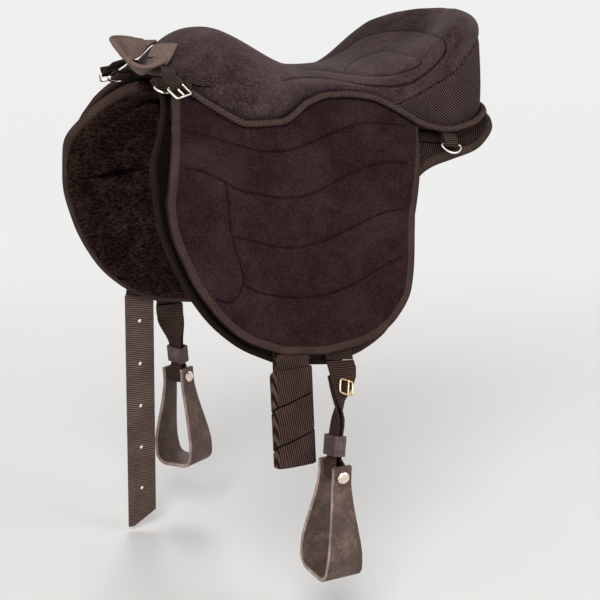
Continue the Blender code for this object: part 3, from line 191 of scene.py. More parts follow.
def dim(colour, share):
    return tuple(share * c for c in colour)


print("shader helpers ready")

# %% [markdown]
# Microsuede is a short brushed nap. It shows as a very matt cloth with pale rims where the nap stands
# against the eye, soft blotches where a hand has brushed it, and a fine grain. Slow noise makes the
# blotches, fine noise the grain, and a constant sheen the rims. Where pieces carry a map of how far each
# corner lies from a stitched line, painted shade darkens the cloth into the seam.

# %% Suede
SEAM_SHADE = 0.0026


def suede(name, dark, light, fibre=900.0, seams=True, sheen=0.02):
    made = Finish(name, dark, 0.95, Sheen_Weight=sheen, Sheen_Roughness=0.4, Specular_IOR_Level=0.02)
    made.set("Sheen Tint", (1.0, 0.78, 0.80, 1.0))
    blotch = made.ramp(made.noise(13.0, 4.0, 0.65), 0.35, 0.72)
    nap = made.noise(fibre, 2.0, 0.7)
    mottle = made.ramp(made.noise(330.0, 3.0, 0.7), 0.38, 0.66)
    wear = made.ramp(made.noise(60.0, 3.0, 0.7), 0.3, 0.8)
    colour = made.blend(blotch * 0.4 + wear * 0.25 + mottle * 0.35, dark, light)
    grain = made.ramp(nap, 0.3, 0.7)
    cloth = made.blend(grain * 0.6 + 0.4, dim(dark, 0.3), colour)
    # Painted shade: the colour darkens towards a stitched line, standing in for the shade in its groove.
    if seams:
        seam_shade_ramp = made.ramp(made.parts(made.uv())[0], 0.0, SEAM_SHADE)
        cloth = made.blend(seam_shade_ramp * 0.75 + 0.25, dim(dark, 0.3), cloth)
    made.set("Roughness", 0.9 + wear * 0.1)
    return made.done(cloth, nap + wear * 0.6 + mottle * 0.5, 0.0006, 0.7)


seat_suede = suede("seat_suede", (0.018, 0.009, 0.0095), (0.135, 0.088, 0.093), sheen=0.14)
flap_suede = suede("flap_suede", (0.017, 0.0075, 0.0085), (0.066, 0.037, 0.040))
handle_suede = suede("handle_suede", (0.17, 0.112, 0.096), (0.33, 0.235, 0.205), 700.0, seams=False)
print("suede:", seat_suede.name, flap_suede.name, handle_suede.name)

# %% [markdown]
# The cantle wall and the panels are covered with spacer mesh, a knit with staggered holes. The product of
# two crossing waves is high at the crests of pale thread, and the rest is a dark hole. The pattern is laid
# in metres, so a cell has its real size. Towards the pommel the mesh lies in shade, and its threads fade.

# %% Spacer mesh
MESH_DARK_UNTIL, MESH_LIGHT_FROM = -0.19, -0.12


def spacer_mesh(name, dark, light, cell, mapped=True):
    made = Finish(name, dark, 0.9, Specular_IOR_Level=0.05)
    across, up, _ = made.parts(made.uv() if mapped else made.place())
    slant = across + up * 0.25
    lattice = slant.wave(cell) * (up - slant * 0.2).wave(0.85 * cell)
    holes = 1 - made.ramp(lattice, 0.1, 0.75)
    fuzz = made.noise(1500.0, 2.0)
    tone = made.ramp(made.noise(25.0), 0.3, 0.7)
    thread = made.blend(tone, light, dim(light, 0.75))
    lit = made.ramp(made.parts(made.place())[0], MESH_DARK_UNTIL, MESH_LIGHT_FROM)
    cloth = made.blend(holes, made.blend(lit, dark, thread), dark)
    return made.done(cloth, (1 - holes) + fuzz * 0.3, 0.0008, 0.9)


wall_mesh = spacer_mesh("wall_mesh", (0.014, 0.007, 0.007), (0.215, 0.150, 0.144), 0.0048)
panel_mesh = spacer_mesh("panel_mesh", (0.007, 0.004, 0.003), (0.14, 0.092, 0.080), 0.0044)
sheet_mesh = spacer_mesh("sheet_mesh", (0.007, 0.004, 0.003), (0.11, 0.072, 0.062), 0.0044, mapped=False)
print("mesh:", wall_mesh.name, panel_mesh.name, sheet_mesh.name)

# %% [markdown]
# Webbing is woven with thick cross threads, which show as fine ribs across the strap every two or three
# millimetres. The ribs are a wave along the strap's own direction. Worn straps pale along the crests.

# %% Webbing


def webbing(name, direction, dark=(0.012, 0.006, 0.005), light=(0.115, 0.072, 0.060), pitch=0.0026):
    made = Finish(name, dark, 0.85, Specular_IOR_Level=0.08)
    wander = made.noise(70.0, 2.0) * 0.0009
    rib = (made.along(direction) + wander).wave(pitch) * 0.5 + 0.5
    yarn = made.noise(900.0, 2.0, 0.7)
    worn = made.ramp(made.noise(22.0, 4.0, 0.7), 0.35, 0.75)
    crest = made.blend(worn, dim(light, 0.62), light)
    cloth = made.blend(made.ramp(rib + yarn * 0.35, 0.35, 1.05), dark, crest)
    return made.done(cloth, rib + yarn * 0.5, 0.0006, 0.9)


web_down = webbing("web_down", (0.06, 0.0, 1.0), light=(0.10, 0.063, 0.050))
web_billet = webbing("web_billet", (0.06, 0.0, 1.0), (0.030, 0.017, 0.014), (0.235, 0.160, 0.140), 0.0029)
web_round = webbing("web_round", (1.0, 0.15, 0.12), (0.010, 0.005, 0.004), (0.115, 0.068, 0.056), 0.0028)
web_across = webbing("web_across", (0.0, 1.0, 0.0))
web_front = webbing("web_front", (-0.25, -0.62, -0.6), (0.006, 0.003, 0.002), (0.085, 0.052, 0.042))
print("webbing:", web_down.name, web_round.name, web_front.name)

# %% [markdown]
# Cut edges are bound in herringbone tape: a twill whose slant turns back every few millimetres, where an
# absolute value folds the across coordinate. Between the near flap and the horse the panel's tape stays in
# shade, and is nearly black.

# %% Herringbone tape
TAPE_FOLD = 0.005
TAPE_DARK_UNTIL, TAPE_LIGHT_FROM = -0.10, 0.02


def herringbone(name, dark, light, pitch=0.0034, shaded=False):
    made = Finish(name, dark, 0.9, Specular_IOR_Level=0.05)
    run, across, _ = made.parts(made.uv())
    zigzag = ((across / TAPE_FOLD).fraction() - 0.5).size() * TAPE_FOLD
    twill = (run + zigzag * 1.6).wave(pitch) * 0.5 + 0.5
    yarn = made.noise(1100.0, 2.0)
    worn = made.ramp(made.noise(30.0, 3.0), 0.35, 0.7)
    crest = made.blend(worn, dim(light, 0.7), light)
    cloth = made.blend(made.ramp(twill + yarn * 0.3, 0.3, 1.0), dark, crest)
    if shaded:
        front = 1 - made.ramp(made.parts(made.place())[0], TAPE_DARK_UNTIL, TAPE_LIGHT_FROM)
        cloth = made.blend(front * 0.72, cloth, dark)
    return made.done(cloth, twill + yarn * 0.4, 0.0005, 0.9)


tape = herringbone("tape", (0.011, 0.0055, 0.005), (0.120, 0.074, 0.063), 0.0038)
far_tape = herringbone("far_tape", (0.010, 0.005, 0.004), (0.115, 0.074, 0.062))
tube_tape = herringbone("tube_tape", (0.005, 0.0025, 0.002), (0.118, 0.076, 0.064), shaded=True)
print("tape:", tape.name, far_tape.name, tube_tape.name)

# %% [markdown]
# The piping is a cord of twisted strands, so its lay is modelled and only the yarn is a pattern.
# Fleece is a mass of curls: its colour goes from brown at their tips to nearly black between them, a painted
# shade.
# A painted shadow marks one crease across the far fleece, a dark line in x and z that narrows away from its
# middle.

# %% Cord and fleece
CREASE_MIDDLE, CREASE_DROP, CREASE_RISE = -0.215, 0.0524, 0.11
CREASE_HALF, CREASE_TAPER = 0.004, 0.13

made = Finish("cord", (0.075, 0.050, 0.045), 0.85, Specular_IOR_Level=0.1)
yarn = made.noise(1000.0, 2.0, 0.7)
cord = made.blend(made.ramp(yarn, 0.3, 0.7), (0.010, 0.0055, 0.005), (0.105, 0.066, 0.057))
cord = made.done(cord, yarn, 0.0003, 0.6)

made = Finish("fleece_pile", (0.02, 0.01, 0.007), 1.0, Specular_IOR_Level=0.02)
curl = made.noise(260.0, 5.0, 0.72, stretch=(0.6, 1.0, 1.5))
lock = made.ramp(made.noise(40.0, 3.0), 0.3, 0.7)
x, y, z = made.parts(made.place())
# Painted shadow: a dark line across the far fleece stands for the shade in one crease.
from_line = (z + CREASE_DROP - x * CREASE_RISE).size()
from_crease = from_line + CREASE_TAPER * (x - CREASE_MIDDLE).size() - CREASE_HALF
crease = (1 - made.ramp(from_crease, -0.001, 0.006)) * made.ramp(y, -0.01, 0.01)
# Painted shade: the pile is nearly black between the curls and brown at their tips.
tips = made.ramp(curl, 0.34, 0.72) * (lock * 0.5 + 0.5)
pile = made.blend(tips, (0.003, 0.0015, 0.001), (0.088, 0.050, 0.040))
fleece_pile = made.done(made.blend(crease * 0.92, pile, (0.001, 0.0006, 0.0005)), curl, 0.004, 1.0)
print("pile:", cord.name, fleece_pile.name)

# %% [markdown]
# Stirrup leather is waxed and rubbed: the face is brown with darker pores and pale scuffs, and the cut
# edge is raw, so it is much paler.

# %% Leather and its cut edge


def leather(name, dark, light, depth=0.0005):
    made = Finish(name, dark, 0.6, Specular_IOR_Level=0.2)
    pores = made.node("ShaderNodeTexVoronoi", {"Vector": made.place(), "Scale": 420.0}, "Distance")
    scuff = made.ramp(made.noise(35.0, 5.0, 0.75), 0.42, 0.72)
    fine = made.noise(500.0, 3.0, 0.7)
    face = made.blend(scuff * 0.75 + fine * 0.2, dark, light)
    face = made.blend(made.ramp(pores, 0.0, 0.5), dim(dark, 0.6), face)
    made.set("Roughness", 0.5 + scuff * 0.25)
    return made.done(face, fine * 0.5 + made.ramp(pores, 0.0, 0.6) + scuff * 0.3, depth, 0.6)


stirrup_leather = leather("stirrup_leather", (0.070, 0.043, 0.036), (0.215, 0.145, 0.122))
raw_edge = leather("raw_edge", (0.24, 0.165, 0.145), (0.56, 0.43, 0.39), 0.0009)
keeper_leather = leather("keeper_leather", (0.055, 0.036, 0.032), (0.21, 0.155, 0.138))
print("leather:", stirrup_leather.name, raw_edge.name, keeper_leather.name)

# %% [markdown]
# Metal takes its look from what it mirrors, so its own nodes stay small: a warm tint, a little tarnish in
# the roughness, and fine rubbed scratches. Foam and board sit inside and get a plain moulded texture.

# %% Metal, foam and board


def metal(name, bright, tarnished, roughness):
    made = Finish(name, bright, roughness, 1.0)
    tarnish = made.ramp(made.noise(120.0, 4.0, 0.7), 0.45, 0.75)
    scratch = made.noise(600.0, 2.0, 0.6, stretch=(1.0, 1.0, 0.12))
    made.set("Roughness", roughness + tarnish * 0.2 + scratch * 0.08)
    return made.done(made.blend(tarnish, bright, tarnished), scratch, 0.00006, 0.5)


def moulded(name, colour):
    made = Finish(name, colour, 0.75)
    speck = made.noise(400.0, 3.0)
    return made.done(made.blend(speck, colour, dim(colour, 2.2)), speck, 0.0003, 0.5)


nickel = metal("nickel", (0.86, 0.80, 0.73), (0.55, 0.45, 0.36), 0.22)
brass = metal("brass", (0.78, 0.58, 0.32), (0.42, 0.27, 0.14), 0.3)
copper_nickel = metal("copper_nickel", (0.90, 0.76, 0.66), (0.62, 0.42, 0.32), 0.2)
foam = moulded("foam", (0.03, 0.03, 0.03))
board = moulded("board", (0.02, 0.02, 0.02))
print("metal:", nickel.name, brass.name, copper_nickel.name)

# %% [markdown]
# Every layer of the saddle lies on one surface, the horse's barrel: a round back that runs out into flat
# sides. A place on it is given by x along the back, the reach down from the ridge, and how far it stands
# off. In these numbers a flap is a flat drawing, and the mapping wraps it. Outlines are short tables of
# shares, joined by a smooth curve that never overshoots.

# %% The barrel and the outlines
BARREL_RADIUS, BARREL_SLOPE = 0.163, radians(80)
RIDGE_HEIGHT, RIDGE_FALL = 0.0385, 0.13
FLAT_REACH = BARREL_RADIUS * BARREL_SLOPE
SEAT_FRONT, SEAT_REAR = 0.222, 0.281
PIPING_CLEAR = 0.0056
FLAP_OFF, FLAP_THICK, FLAP_HINGE, FLAP_END = 0.020, 0.0088, 0.235, 0.4175
PANEL_END, PANEL_START = 0.430, 0.030
PANEL_DEEP, PANEL_THIN = 0.029, 0.012
THINNING_START, THINNING_RUN = 0.110, 0.160


def pair(first, second):
    """Two columns side by side."""
    return np.stack((first, second), axis=1)


def unit(vectors):
    return vectors / np.linalg.norm(vectors, axis=1)[:, None]


def cubic(values, slopes, i, step, t):
    """Smooth curve between values i and i + 1, at the share t of that step."""
    return (values[i] * (1 + 2 * t) * (1 - t) ** 2 + values[i + 1] * t * t * (3 - 2 * t)
            + step * (slopes[i] * t * (1 - t) ** 2 - slopes[i + 1] * t * t * (1 - t)))


def flow(shares, at):
    """Smooth curve through a table, without overshoot."""
    x, y = np.array(shares).T
    at = np.clip(at, x[0], x[-1])
    step = np.diff(x)
    rise = np.diff(y) / step
    product = rise[:-1] * rise[1:]
    total = np.where(product > 0, rise[:-1] + rise[1:], 1.0)
    bend = np.concatenate(([rise[0]], np.where(product > 0, 2 * product / total, 0.0), [rise[-1]]))
    i = np.clip(np.searchsorted(x, at, side="right") - 1, 0, len(step) - 1)
    return cubic(y, bend, i, step[i], (at - x[i]) / step[i])


def mix(first, last, share):
    return first + (last - first) * share


def ease(t):
    t = np.clip(t, 0.0, 1.0)
    return t * t * (3 - 2 * t)


def skin(x, reach, off, side):
    """Points on the barrel: side is -1 for the horse's left and 1 for its right."""
    x, reach, off = np.broadcast_arrays(x, reach, off)
    slope = np.minimum(reach / BARREL_RADIUS, BARREL_SLOPE)
    past = np.maximum(0.0, reach - FLAT_REACH)
    across = (BARREL_RADIUS + off) * np.sin(slope) + past * np.cos(slope)
    height = RIDGE_HEIGHT - RIDGE_FALL * x - BARREL_RADIUS + (BARREL_RADIUS + off) * np.cos(slope)
    return np.stack((x, side * across, height - past * np.sin(slope)), axis=-1)


def unskin(points):
    """x, reach and off of points in space."""
    x, across = points[:, 0], np.abs(points[:, 1])
    height = points[:, 2] - (RIDGE_HEIGHT - RIDGE_FALL * x - BARREL_RADIUS)
    slope = np.arctan2(across, height)
    round_part = slope <= BARREL_SLOPE
    s, c = sin(BARREL_SLOPE), cos(BARREL_SLOPE)
    reach = np.where(round_part, BARREL_RADIUS * slope, FLAT_REACH + across * c - height * s)
    off = np.where(round_part, np.hypot(across, height), across * s + height * c) - BARREL_RADIUS
    return x, reach, off


def seat_edge(most, shares):
    """A curve along the seat's edge, as a function of x."""
    return lambda x: most * flow(shares, (x + SEAT_FRONT) / (SEAT_REAR + SEAT_FRONT))


def lower_edge(furthest, end, shares):
    """A front or rear outline, as a function of reach."""
    return lambda reach: furthest * flow(shares, reach / end)


edge_reach = seat_edge(0.1445, (
    (0, .43), (.014, .62), (.0635, .83), (.133, .985), (.222, .965), (.321, .79), (.401, .7), (.52, .7225),
    (.639, .819), (.758, .815), (.857, .725), (.946, .49), (.985, .29), (1, .13)))
edge_off = seat_edge(0.049, (
    (0, .435), (.014, .461), (.0635, .51), (.133, .62), (.222, .721), (.321, .853), (.401, .885), (.45, .975),
    (.509, 1), (.548, .945), (.581, .885), (.619, .78), (.666, .56), (.711, .43), (.756, .385), (.828, .415),
    (.867, .43), (.904, .41), (.947, .3), (.98, .21), (1, .19)))
flap_front = lower_edge(-0.280, FLAP_END, (
    (.24, .72), (.27, .745), (.385, .907), (.508, 1), (.623, .993), (.76, .929), (.87, .83), (.96, .68),
    (1, .5)))
flap_rear = lower_edge(0.108, FLAP_END, (
    (.24, 1.07), (.313, 1.03), (.36, .946), (.405, .855), (.463, .763), (.52, .69), (.61, .645), (.705, .605),
    (.8, .525), (.893, .275), (.965, -.16), (1, -.74)))
panel_front = lower_edge(-0.285, PANEL_END, (
    (.07, .78), (.21, .842), (.345, .93), (.46, 1), (.58, 1), (.715, .947), (.858, .825), (.95, .667),
    (1, .48)))
panel_rear = lower_edge(0.290, PANEL_END, (
    (.07, 1), (.119, .97), (.174, .927), (.225, .858), (.284, .752), (.33, .59), (.37, .441), (.413, .344),
    (.49, .24), (.605, .2), (.745, .18), (.885, .1), (.953, -.03), (1, -.2)))


def wall_reach(x):
    """Reach of the seat's edge less the piping's own width."""
    bend = (edge_reach(x + PIPING_CLEAR) - edge_reach(x - PIPING_CLEAR)) / (PIPING_CLEAR * 2)
    return np.maximum(edge_reach(x) - PIPING_CLEAR * np.hypot(1.0, bend), PIPING_CLEAR)


def panel_depth(reach):
    return mix(PANEL_DEEP, PANEL_THIN, ease((reach - THINNING_START) / THINNING_RUN))


def flap_off(x, reach):
    """How far the flap's face stands off: it climbs from the hinge to the seat's edge."""
    edge_x = np.maximum(x, PIPING_CLEAR - SEAT_FRONT)
    climb = np.clip((FLAP_HINGE - reach) / (FLAP_HINGE - wall_reach(edge_x)), 0.0, 1.0)
    return mix(FLAP_OFF, edge_off(edge_x) - PIPING_CLEAR, climb ** 1.5)


print("flap from", round(float(flap_front(0.3)), 3), "to", round(float(flap_rear(0.3)), 3), "m at mid height")

# %% [markdown]
# New pieces start as Blender's plain grid. Each corner knows its share along and across, so a formula can
# lay the whole grid in space at once. The corners also get a map in metres, which the woven patterns
# follow. Where a grid closes on itself its doubled corners are merged.

# %% Grids and copies
MERGE = 0.00002
PAIRING = radians(60)


def choose(item):
    bpy.ops.object.select_all(action="DESELECT")
    item.select_set(True)
    bpy.context.view_layer.objects.active = item


def corners(item, kind="co"):
    """Places of all corners, or their normals with kind "normal"."""
    flat = np.empty(len(item.data.vertices) * 3)
    item.data.vertices.foreach_get(kind, flat)
    return flat.reshape(-1, 3)


def put_corners(item, points):
    item.data.vertices.foreach_set("co", np.ascontiguousarray(points, dtype=float).ravel())
    item.data.update()


def lay_map(item, values):
    """Map in metres, one pair of numbers for each corner."""
    layer = item.data.uv_layers.get("weave") or item.data.uv_layers.new(name="weave")
    loops = np.empty(len(item.data.loops), dtype=np.int32)
    item.data.loops.foreach_get("vertex_index", loops)
    layer.data.foreach_set("uv", np.ascontiguousarray(values[loops], dtype=np.float32).ravel())


def smooth(item):
    choose(item)
    bpy.ops.object.shade_smooth()


def mode(kind):
    bpy.ops.object.mode_set(mode=kind)


def tidy(item, caps=False, paired=False):
    """Merges doubled corners, closes open ends or pairs triangles, and turns every face outward."""
    choose(item)
    mode("EDIT")
    bpy.ops.mesh.select_all(action="SELECT")
    bpy.ops.mesh.remove_doubles(threshold=MERGE)
    if paired:
        bpy.ops.mesh.customdata_custom_splitnormals_clear()
        bpy.ops.mesh.tris_convert_to_quads(face_threshold=PAIRING, shape_threshold=PAIRING)
    if caps:
        bpy.ops.mesh.select_all(action="SELECT")
        bpy.ops.mesh.fill_holes(sides=0)
    bpy.ops.mesh.select_all(action="SELECT")
    bpy.ops.mesh.normals_make_consistent(inside=False)
    mode("OBJECT")


def grid_piece(name, material, columns, rows, place, caps=False):
    """Grid whose corners are laid by place(u, v), which returns points and their map."""
    bpy.ops.mesh.primitive_grid_add(x_subdivisions=columns, y_subdivisions=rows, size=2.0, calc_uvs=False)
    item = bpy.context.object
    item.name = item.data.name = name
    share = (corners(item)[:, :2] + 1) / 2
    points, weave = place(share[:, 0], share[:, 1])
    put_corners(item, points)
    lay_map(item, weave)
    item.data.materials.append(material)
    tidy(item, caps=caps)
    smooth(item)
    return item


def copy_of(node, name, material):
    """Own copy of a solid's mesh in the saddle's frame."""
    item = bpy.data.objects.new(name, nodes[node].data.copy())
    bpy.context.scene.collection.objects.link(item)
    item.data.name = name
    item.data.transform(nodes[node].matrix_world)
    item.data.materials.clear()
    item.data.materials.append(material)
    tidy(item, paired=True)
    return item


def apply(item, kind, **settings):
    change = item.modifiers.new(kind.title(), kind)
    for key, value in settings.items():
        setattr(change, key, value)
    choose(item)
    bpy.ops.object.modifier_apply(modifier=change.name)


def finish_piece(item, node):
    """The piece takes its solid's place and moves with its body."""
    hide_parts(node)
    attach(item, owner[node])


print("grids and copies ready")

# %% [markdown]
# Outlines and stitched seams are lines of points. They are measured by the length run along them, rounded
# through their points and spaced evenly. The distance to the nearest seam drives the quilting: padding
# swells with it, and at the seam itself the thread pulls a narrow groove.

# %% Lines and quilting
PASSED_RISE = 0.008
MILLIMETRES = 1000


def nearest(share, count):
    """Index of the row at this share of count steps."""
    return np.round(share * count).astype(int)


def steps_along(points):
    """Length run along a line of points."""
    return np.concatenate(([0.0], np.cumsum(np.linalg.norm(np.diff(points, axis=0), axis=1))))


def line_distance(points, line, out=None):
    """Distance from each point to a broken line; with normals given, it is taken along the surface."""
    best = np.full(len(points), np.inf)
    for a, b in zip(line[:-1], line[1:]):
        run = b - a
        t = np.clip((points - a) @ run / (run @ run), 0.0, 1.0)
        gap = points - (a + t[:, None] * run)
        if out is not None:
            gap -= out * np.clip(np.sum(gap * out, axis=1), -PASSED_RISE, PASSED_RISE)[:, None]
        best = np.minimum(best, np.linalg.norm(gap, axis=1))
    return best


def curved(line, count):
    """Line of given points, rounded through them."""
    at = steps_along(line)
    fine = np.linspace(0.0, at[-1], count)
    i = np.clip(np.searchsorted(at, fine, side="right") - 1, 0, len(at) - 2)
    step = (at[i + 1] - at[i])[:, None]
    return cubic(line, np.gradient(line, at, axis=0), i, step, (fine - at[i])[:, None] / step)


def even(line, count, rounds=4):
    """The same line with evenly spaced points, lightly rounded."""
    at = steps_along(line)
    fine = np.linspace(0.0, at[-1], count)
    line = np.stack([np.interp(fine, at, column) for column in line.T], axis=1)
    for _ in range(rounds):
        line[1:-1] = (line[:-2] + 2 * line[1:-1] + line[2:]) / 4
    return line


def outline(front, rear, count):
    """Free edge in x and reach: down the front, along the bottom and up the rear."""
    share = np.linspace(0.0, 1.0, 40)[1:-1]
    bottom_x = mix(front[-1, 0], rear[-1, 0], share)
    bottom = pair(bottom_x, np.full_like(bottom_x, front[-1, 1]))
    return even(np.concatenate((front, bottom, rear[::-1])), count)


def inward(line):
    """Direction across a line in x and reach, towards the inside of the outline."""
    run = unit(np.gradient(line, axis=0))
    return pair(run[:, 1], -run[:, 0])


def quilt(distance, puff, width, groove, line):
    """Height of quilted padding at a distance from its nearest stitched line."""
    return puff * (1 - np.exp(-(distance / width) ** 1.3)) - groove * np.exp(-(distance / line) ** 2)


print("lines and quilting ready")

# %% [markdown]
# A quilted flap is one cover that runs from the seat's edge over the hinge to its lower edge. It is drawn
# flat as a grid between the front and rear outlines, then wrapped on the barrel. Stitched lines, given in
# x and reach in millimetres, pull the padding down into grooves and the suede swells between them.

# %% Flaps
STITCH_LINES = (
    ((-250, 149), (-218, 153), (-174, 164), (-145, 170), (-110, 169), (-71, 158), (-28, 142), (16, 131),
     (45, 129), (84, 128)),
    ((-260, 195), (-239, 195), (-217, 201), (-201, 207), (-190, 213), (-159, 219), (-122, 222), (-96, 220),
     (-69, 211), (-28, 193.5), (1, 183), (30, 176), (69, 173)),
    ((-200, 207), (-198.5, 228.5), (-199, 261), (-195, 286), (-190, 305), (-187, 322), (-190, 333.5),
     (-199, 347), (-211, 353), (-225, 350)),
    ((-193, 272), (-165, 278), (-140.5, 282), (-102, 282), (-76, 275.5), (-36, 260), (6, 241), (34.5, 231),
     (56, 228)),
    ((-188, 331), (-171, 339), (-146.5, 344), (-108.5, 346), (-82, 343.5), (-43, 333), (-1, 313), (28, 298),
     (51, 290)))
EDGE_LINE = 0.0105
FLAP_TOP_FRONT, FLAP_TOP_REAR, FLAP_TOP_CLEAR = -0.217, 0.115, 0.0035
UPPER_ROWS, LOWER_ROWS = 0.34, 0.66
FLAP_COLUMNS, FLAP_ROWS, FLAP_TURN = 190, 150, 5
RING_X, RING_REACH, RING_CLEAR = -0.222, 0.083, 0.024
BEND_X, BEND_ABOVE, BEND_BELOW = -0.08, 0.012, 0.020


def flap_top(share, along):
    """Place on the upper flap in x and reach: share goes down from the seat's edge to the hinge."""
    first = mix(FLAP_TOP_FRONT, FLAP_TOP_REAR, along)
    start = wall_reach(first) + FLAP_TOP_CLEAR
    last = mix(flap_front(FLAP_HINGE), flap_rear(FLAP_HINGE), along)
    return mix(first, last, share ** 0.7), mix(start, FLAP_HINGE, share)


down = np.linspace(0.0, 1.0, 60)[:-1]
below = np.linspace(FLAP_HINGE, FLAP_END, 170)
flap_line = outline(np.concatenate((pair(*flap_top(down, 0.0)), pair(flap_front(below), below))),
                    np.concatenate((pair(*flap_top(down, 1.0)), pair(flap_rear(below), below))), 320)
stitched = [curved(np.array(line) / MILLIMETRES, 60) for line in STITCH_LINES]


def ring_places(share):
    """The grid's columns go across the face, round the rear edge, back behind and round the front edge."""
    half_ring = FLAP_COLUMNS + FLAP_TURN
    k = np.round(share * 2 * half_ring)
    behind = k >= half_ring
    k = k - half_ring * behind
    turning = k > FLAP_COLUMNS
    along = np.where(turning, 1.0, k / FLAP_COLUMNS)
    return np.where(behind, 1 - along, along), behind, turning, (k - FLAP_COLUMNS) / FLAP_TURN * pi


def flap_cover(side, label):
    def place(u, v):
        along, behind, turning, angle = ring_places(u)
        upper = v < UPPER_ROWS
        x_up, reach_up = flap_top(np.clip(v / UPPER_ROWS, 0.0, 1.0), along)
        low = np.clip((v - UPPER_ROWS) / LOWER_ROWS, 0.0, 1.0)
        reach_low = mix(FLAP_HINGE, FLAP_END - 0.001, 1 - (1 - low) ** 1.3)
        x_low = mix(flap_front(reach_low), flap_rear(reach_low), along)
        x, reach = np.where(upper, x_up, x_low), np.where(upper, reach_up, reach_low)
        top = np.where(upper, flap_off(x, reach), FLAP_OFF)
        spot = pair(x, reach)
        rim = line_distance(spot, flap_line[::2])
        near = np.min([line_distance(spot, line) for line in stitched], axis=0)
        near = np.minimum(near, np.abs(rim - EDGE_LINE) + 0.0016)
        from_seat = np.abs(reach - wall_reach(np.maximum(x, PIPING_CLEAR - SEAT_FRONT)))
        swell = quilt(near, 0.0036, 0.020, 0.0013, 0.0019) * ease(from_seat / 0.02 + 0.3)
        pinch = 0.0022 * np.exp(-(rim / 0.006) ** 2)
        # The front ring swings close over this corner, so the padding stays flat there
        flat = np.exp(-((x - RING_X) ** 2 + (reach - RING_REACH) ** 2) / RING_CLEAR ** 2)
        outer = top - 0.0010 + swell * (1 - flat) - 0.0014 * flat - pinch
        inner = FLAP_OFF - FLAP_THICK + 0.0006 + pinch
        middle, half = (outer + inner) / 2, (outer - inner) / 2
        end = np.where(behind, -1.0, 1.0)
        off = np.where(turning, middle + half * np.cos(angle) * end, np.where(behind, inner, outer))
        bulge = np.minimum(half, 0.004) * np.sin(angle) * 0.8
        x = np.where(turning, x + end * bulge * (1 - flat), x) + 0.0018 * flat
        # The map's first number, the distance to the nearest stitched line, sets the suede's painted seam
        # shade.
        return skin(x, reach, off, side), pair(near, rim)

    columns = 2 * (FLAP_COLUMNS + FLAP_TURN)
    return grid_piece("flap_cover_" + label, flap_suede, columns, FLAP_ROWS, place, caps=True)


print("flap edge:", round(steps_along(flap_line)[-1], 2), "m;", len(stitched), "stitched lines")

# %% [markdown]
# The flap's edge is bound in tape: out over the face, round the edge and in again behind. Its section is
# drawn once, as shares of its reach and rise, and swept along the flap's outline.

# %% Flap binding
TAPE_PROFILE = ((1.0, -0.2), (0.97, 0.75), (0.6, 1.0), (0.25, 0.9), (0.02, 0.35), (-0.10, -0.9))
TAPE_REACH, TAPE_RISE, TAPE_BEHIND = 0.0095, 0.0009, FLAP_THICK - 0.0022
TAPE_STEPS = 18


def flap_binding(side, label):
    top = flap_off(*flap_line.T) - TAPE_RISE
    aside = inward(flap_line)
    outer = np.array(TAPE_PROFILE) * (TAPE_REACH, TAPE_RISE)
    behind = pair(outer[::-1, 0], -TAPE_BEHIND - outer[::-1, 1])
    section = even(np.concatenate((outer, behind)), TAPE_STEPS + 1)
    run, across = steps_along(skin(*flap_line.T, top, side)), steps_along(section)

    def place(u, v):
        i, k = nearest(u, len(flap_line) - 1), nearest(v, TAPE_STEPS)
        spot = flap_line[i] + aside[i] * section[k, 0][:, None]
        return skin(*spot.T, top[i] + section[k, 1], side), pair(run[i], across[k])

    return grid_piece("flap_binding_" + label, tape, len(flap_line) - 1, TAPE_STEPS, place)


for side, label in SIDES:
    cover, binding = flap_cover(side, label), flap_binding(side, label)
    start = skin(BEND_X, FLAP_HINGE - BEND_ABOVE, FLAP_OFF, side)
    end = skin(BEND_X, FLAP_HINGE + BEND_BELOW, FLAP_OFF, side)
    for item in (cover, binding):
        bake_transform(item)
    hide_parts("flap_top_" + label, "flap_" + label)
    print(cover.name, len(cover.data.polygons), "faces;", binding.name, len(binding.data.polygons))

# %% [markdown]
# The seat starts from a copy of its solid. Smoothing rounds its facets into a cushion, fine enough for
# stitching, and then every corner is pushed along its own normal: in at the seams, out between them.
# The seams are in millimetres. A faint one counts as lying a little further off than it does.

# %% Seat
POMMEL_LINE = ((-145, -53, 120), (-154, -77, 110), (-160, -94, 99), (-164, -111, 87), (-161, -123, 75),
               (-156, -131, 68), (-148, -134, 66), (-129, -135, 64))
SEAT_LINES = (
    ((-85, 112, 71), (-50, 90, 70), (-20, 80, 67), (10, 78, 66), (40, 80, 66), (70, 88, 66), (100, 90, 69),
     (129, 83, 92), (142, 82, 100), (155, 71, 107), (170, 58, 111), (185, 37, 114), (195, 10, 115),
     (187, -32, 114), (158, -99, 114), (158, -115, 109), (161, -117, 101), (158, -118, 92), (149, -118, 83),
     (135, -119, 72), (120, -121, 64), (103, -124, 57), (82, -124, 54), (59, -119, 54), (36, -114, 56),
     (17, -104, 60), (4, -95, 62), (-10, -86, 65), (-34, -88, 67), (-64, -105, 70), (-91, -122, 69)),
    ((55, -92, 65), (41, -78, 66), (25, -65, 68), (12, -48, 70), (-6, -38, 72), (-19, -34, 73)),
    ((36, -55, 69), (69, -17, 75), (96, 5, 79), (118, 14, 84), (134, 2, 88), (129, -49, 90), (124, -90, 89),
     (121, -112, 86), (120, -117, 82), (113, -116, 77), (102, -113, 72), (87, -107, 68), (71, -99, 66),
     (52, -88, 66), (36, -72, 67)),
    POMMEL_LINE, tuple((x, -y, z) for x, y, z in POMMEL_LINE),
    ((-179, -126, 58), (-170, -135, 52), (-158, -141, 47), (-145, -144, 45), (-131, -144, 44),
     (-115, -144, 45)))
SEAT_FAINT = (0.0, 0.0004, 0.0003, 0.0012, 0.0012, 0.0014)
seat_stitched = [curved(np.array(line) / MILLIMETRES, 120) for line in SEAT_LINES]
SHARP_EDGE = radians(70)
WALL_CENTRE, WALL_RADIUS = 0.10, 0.15


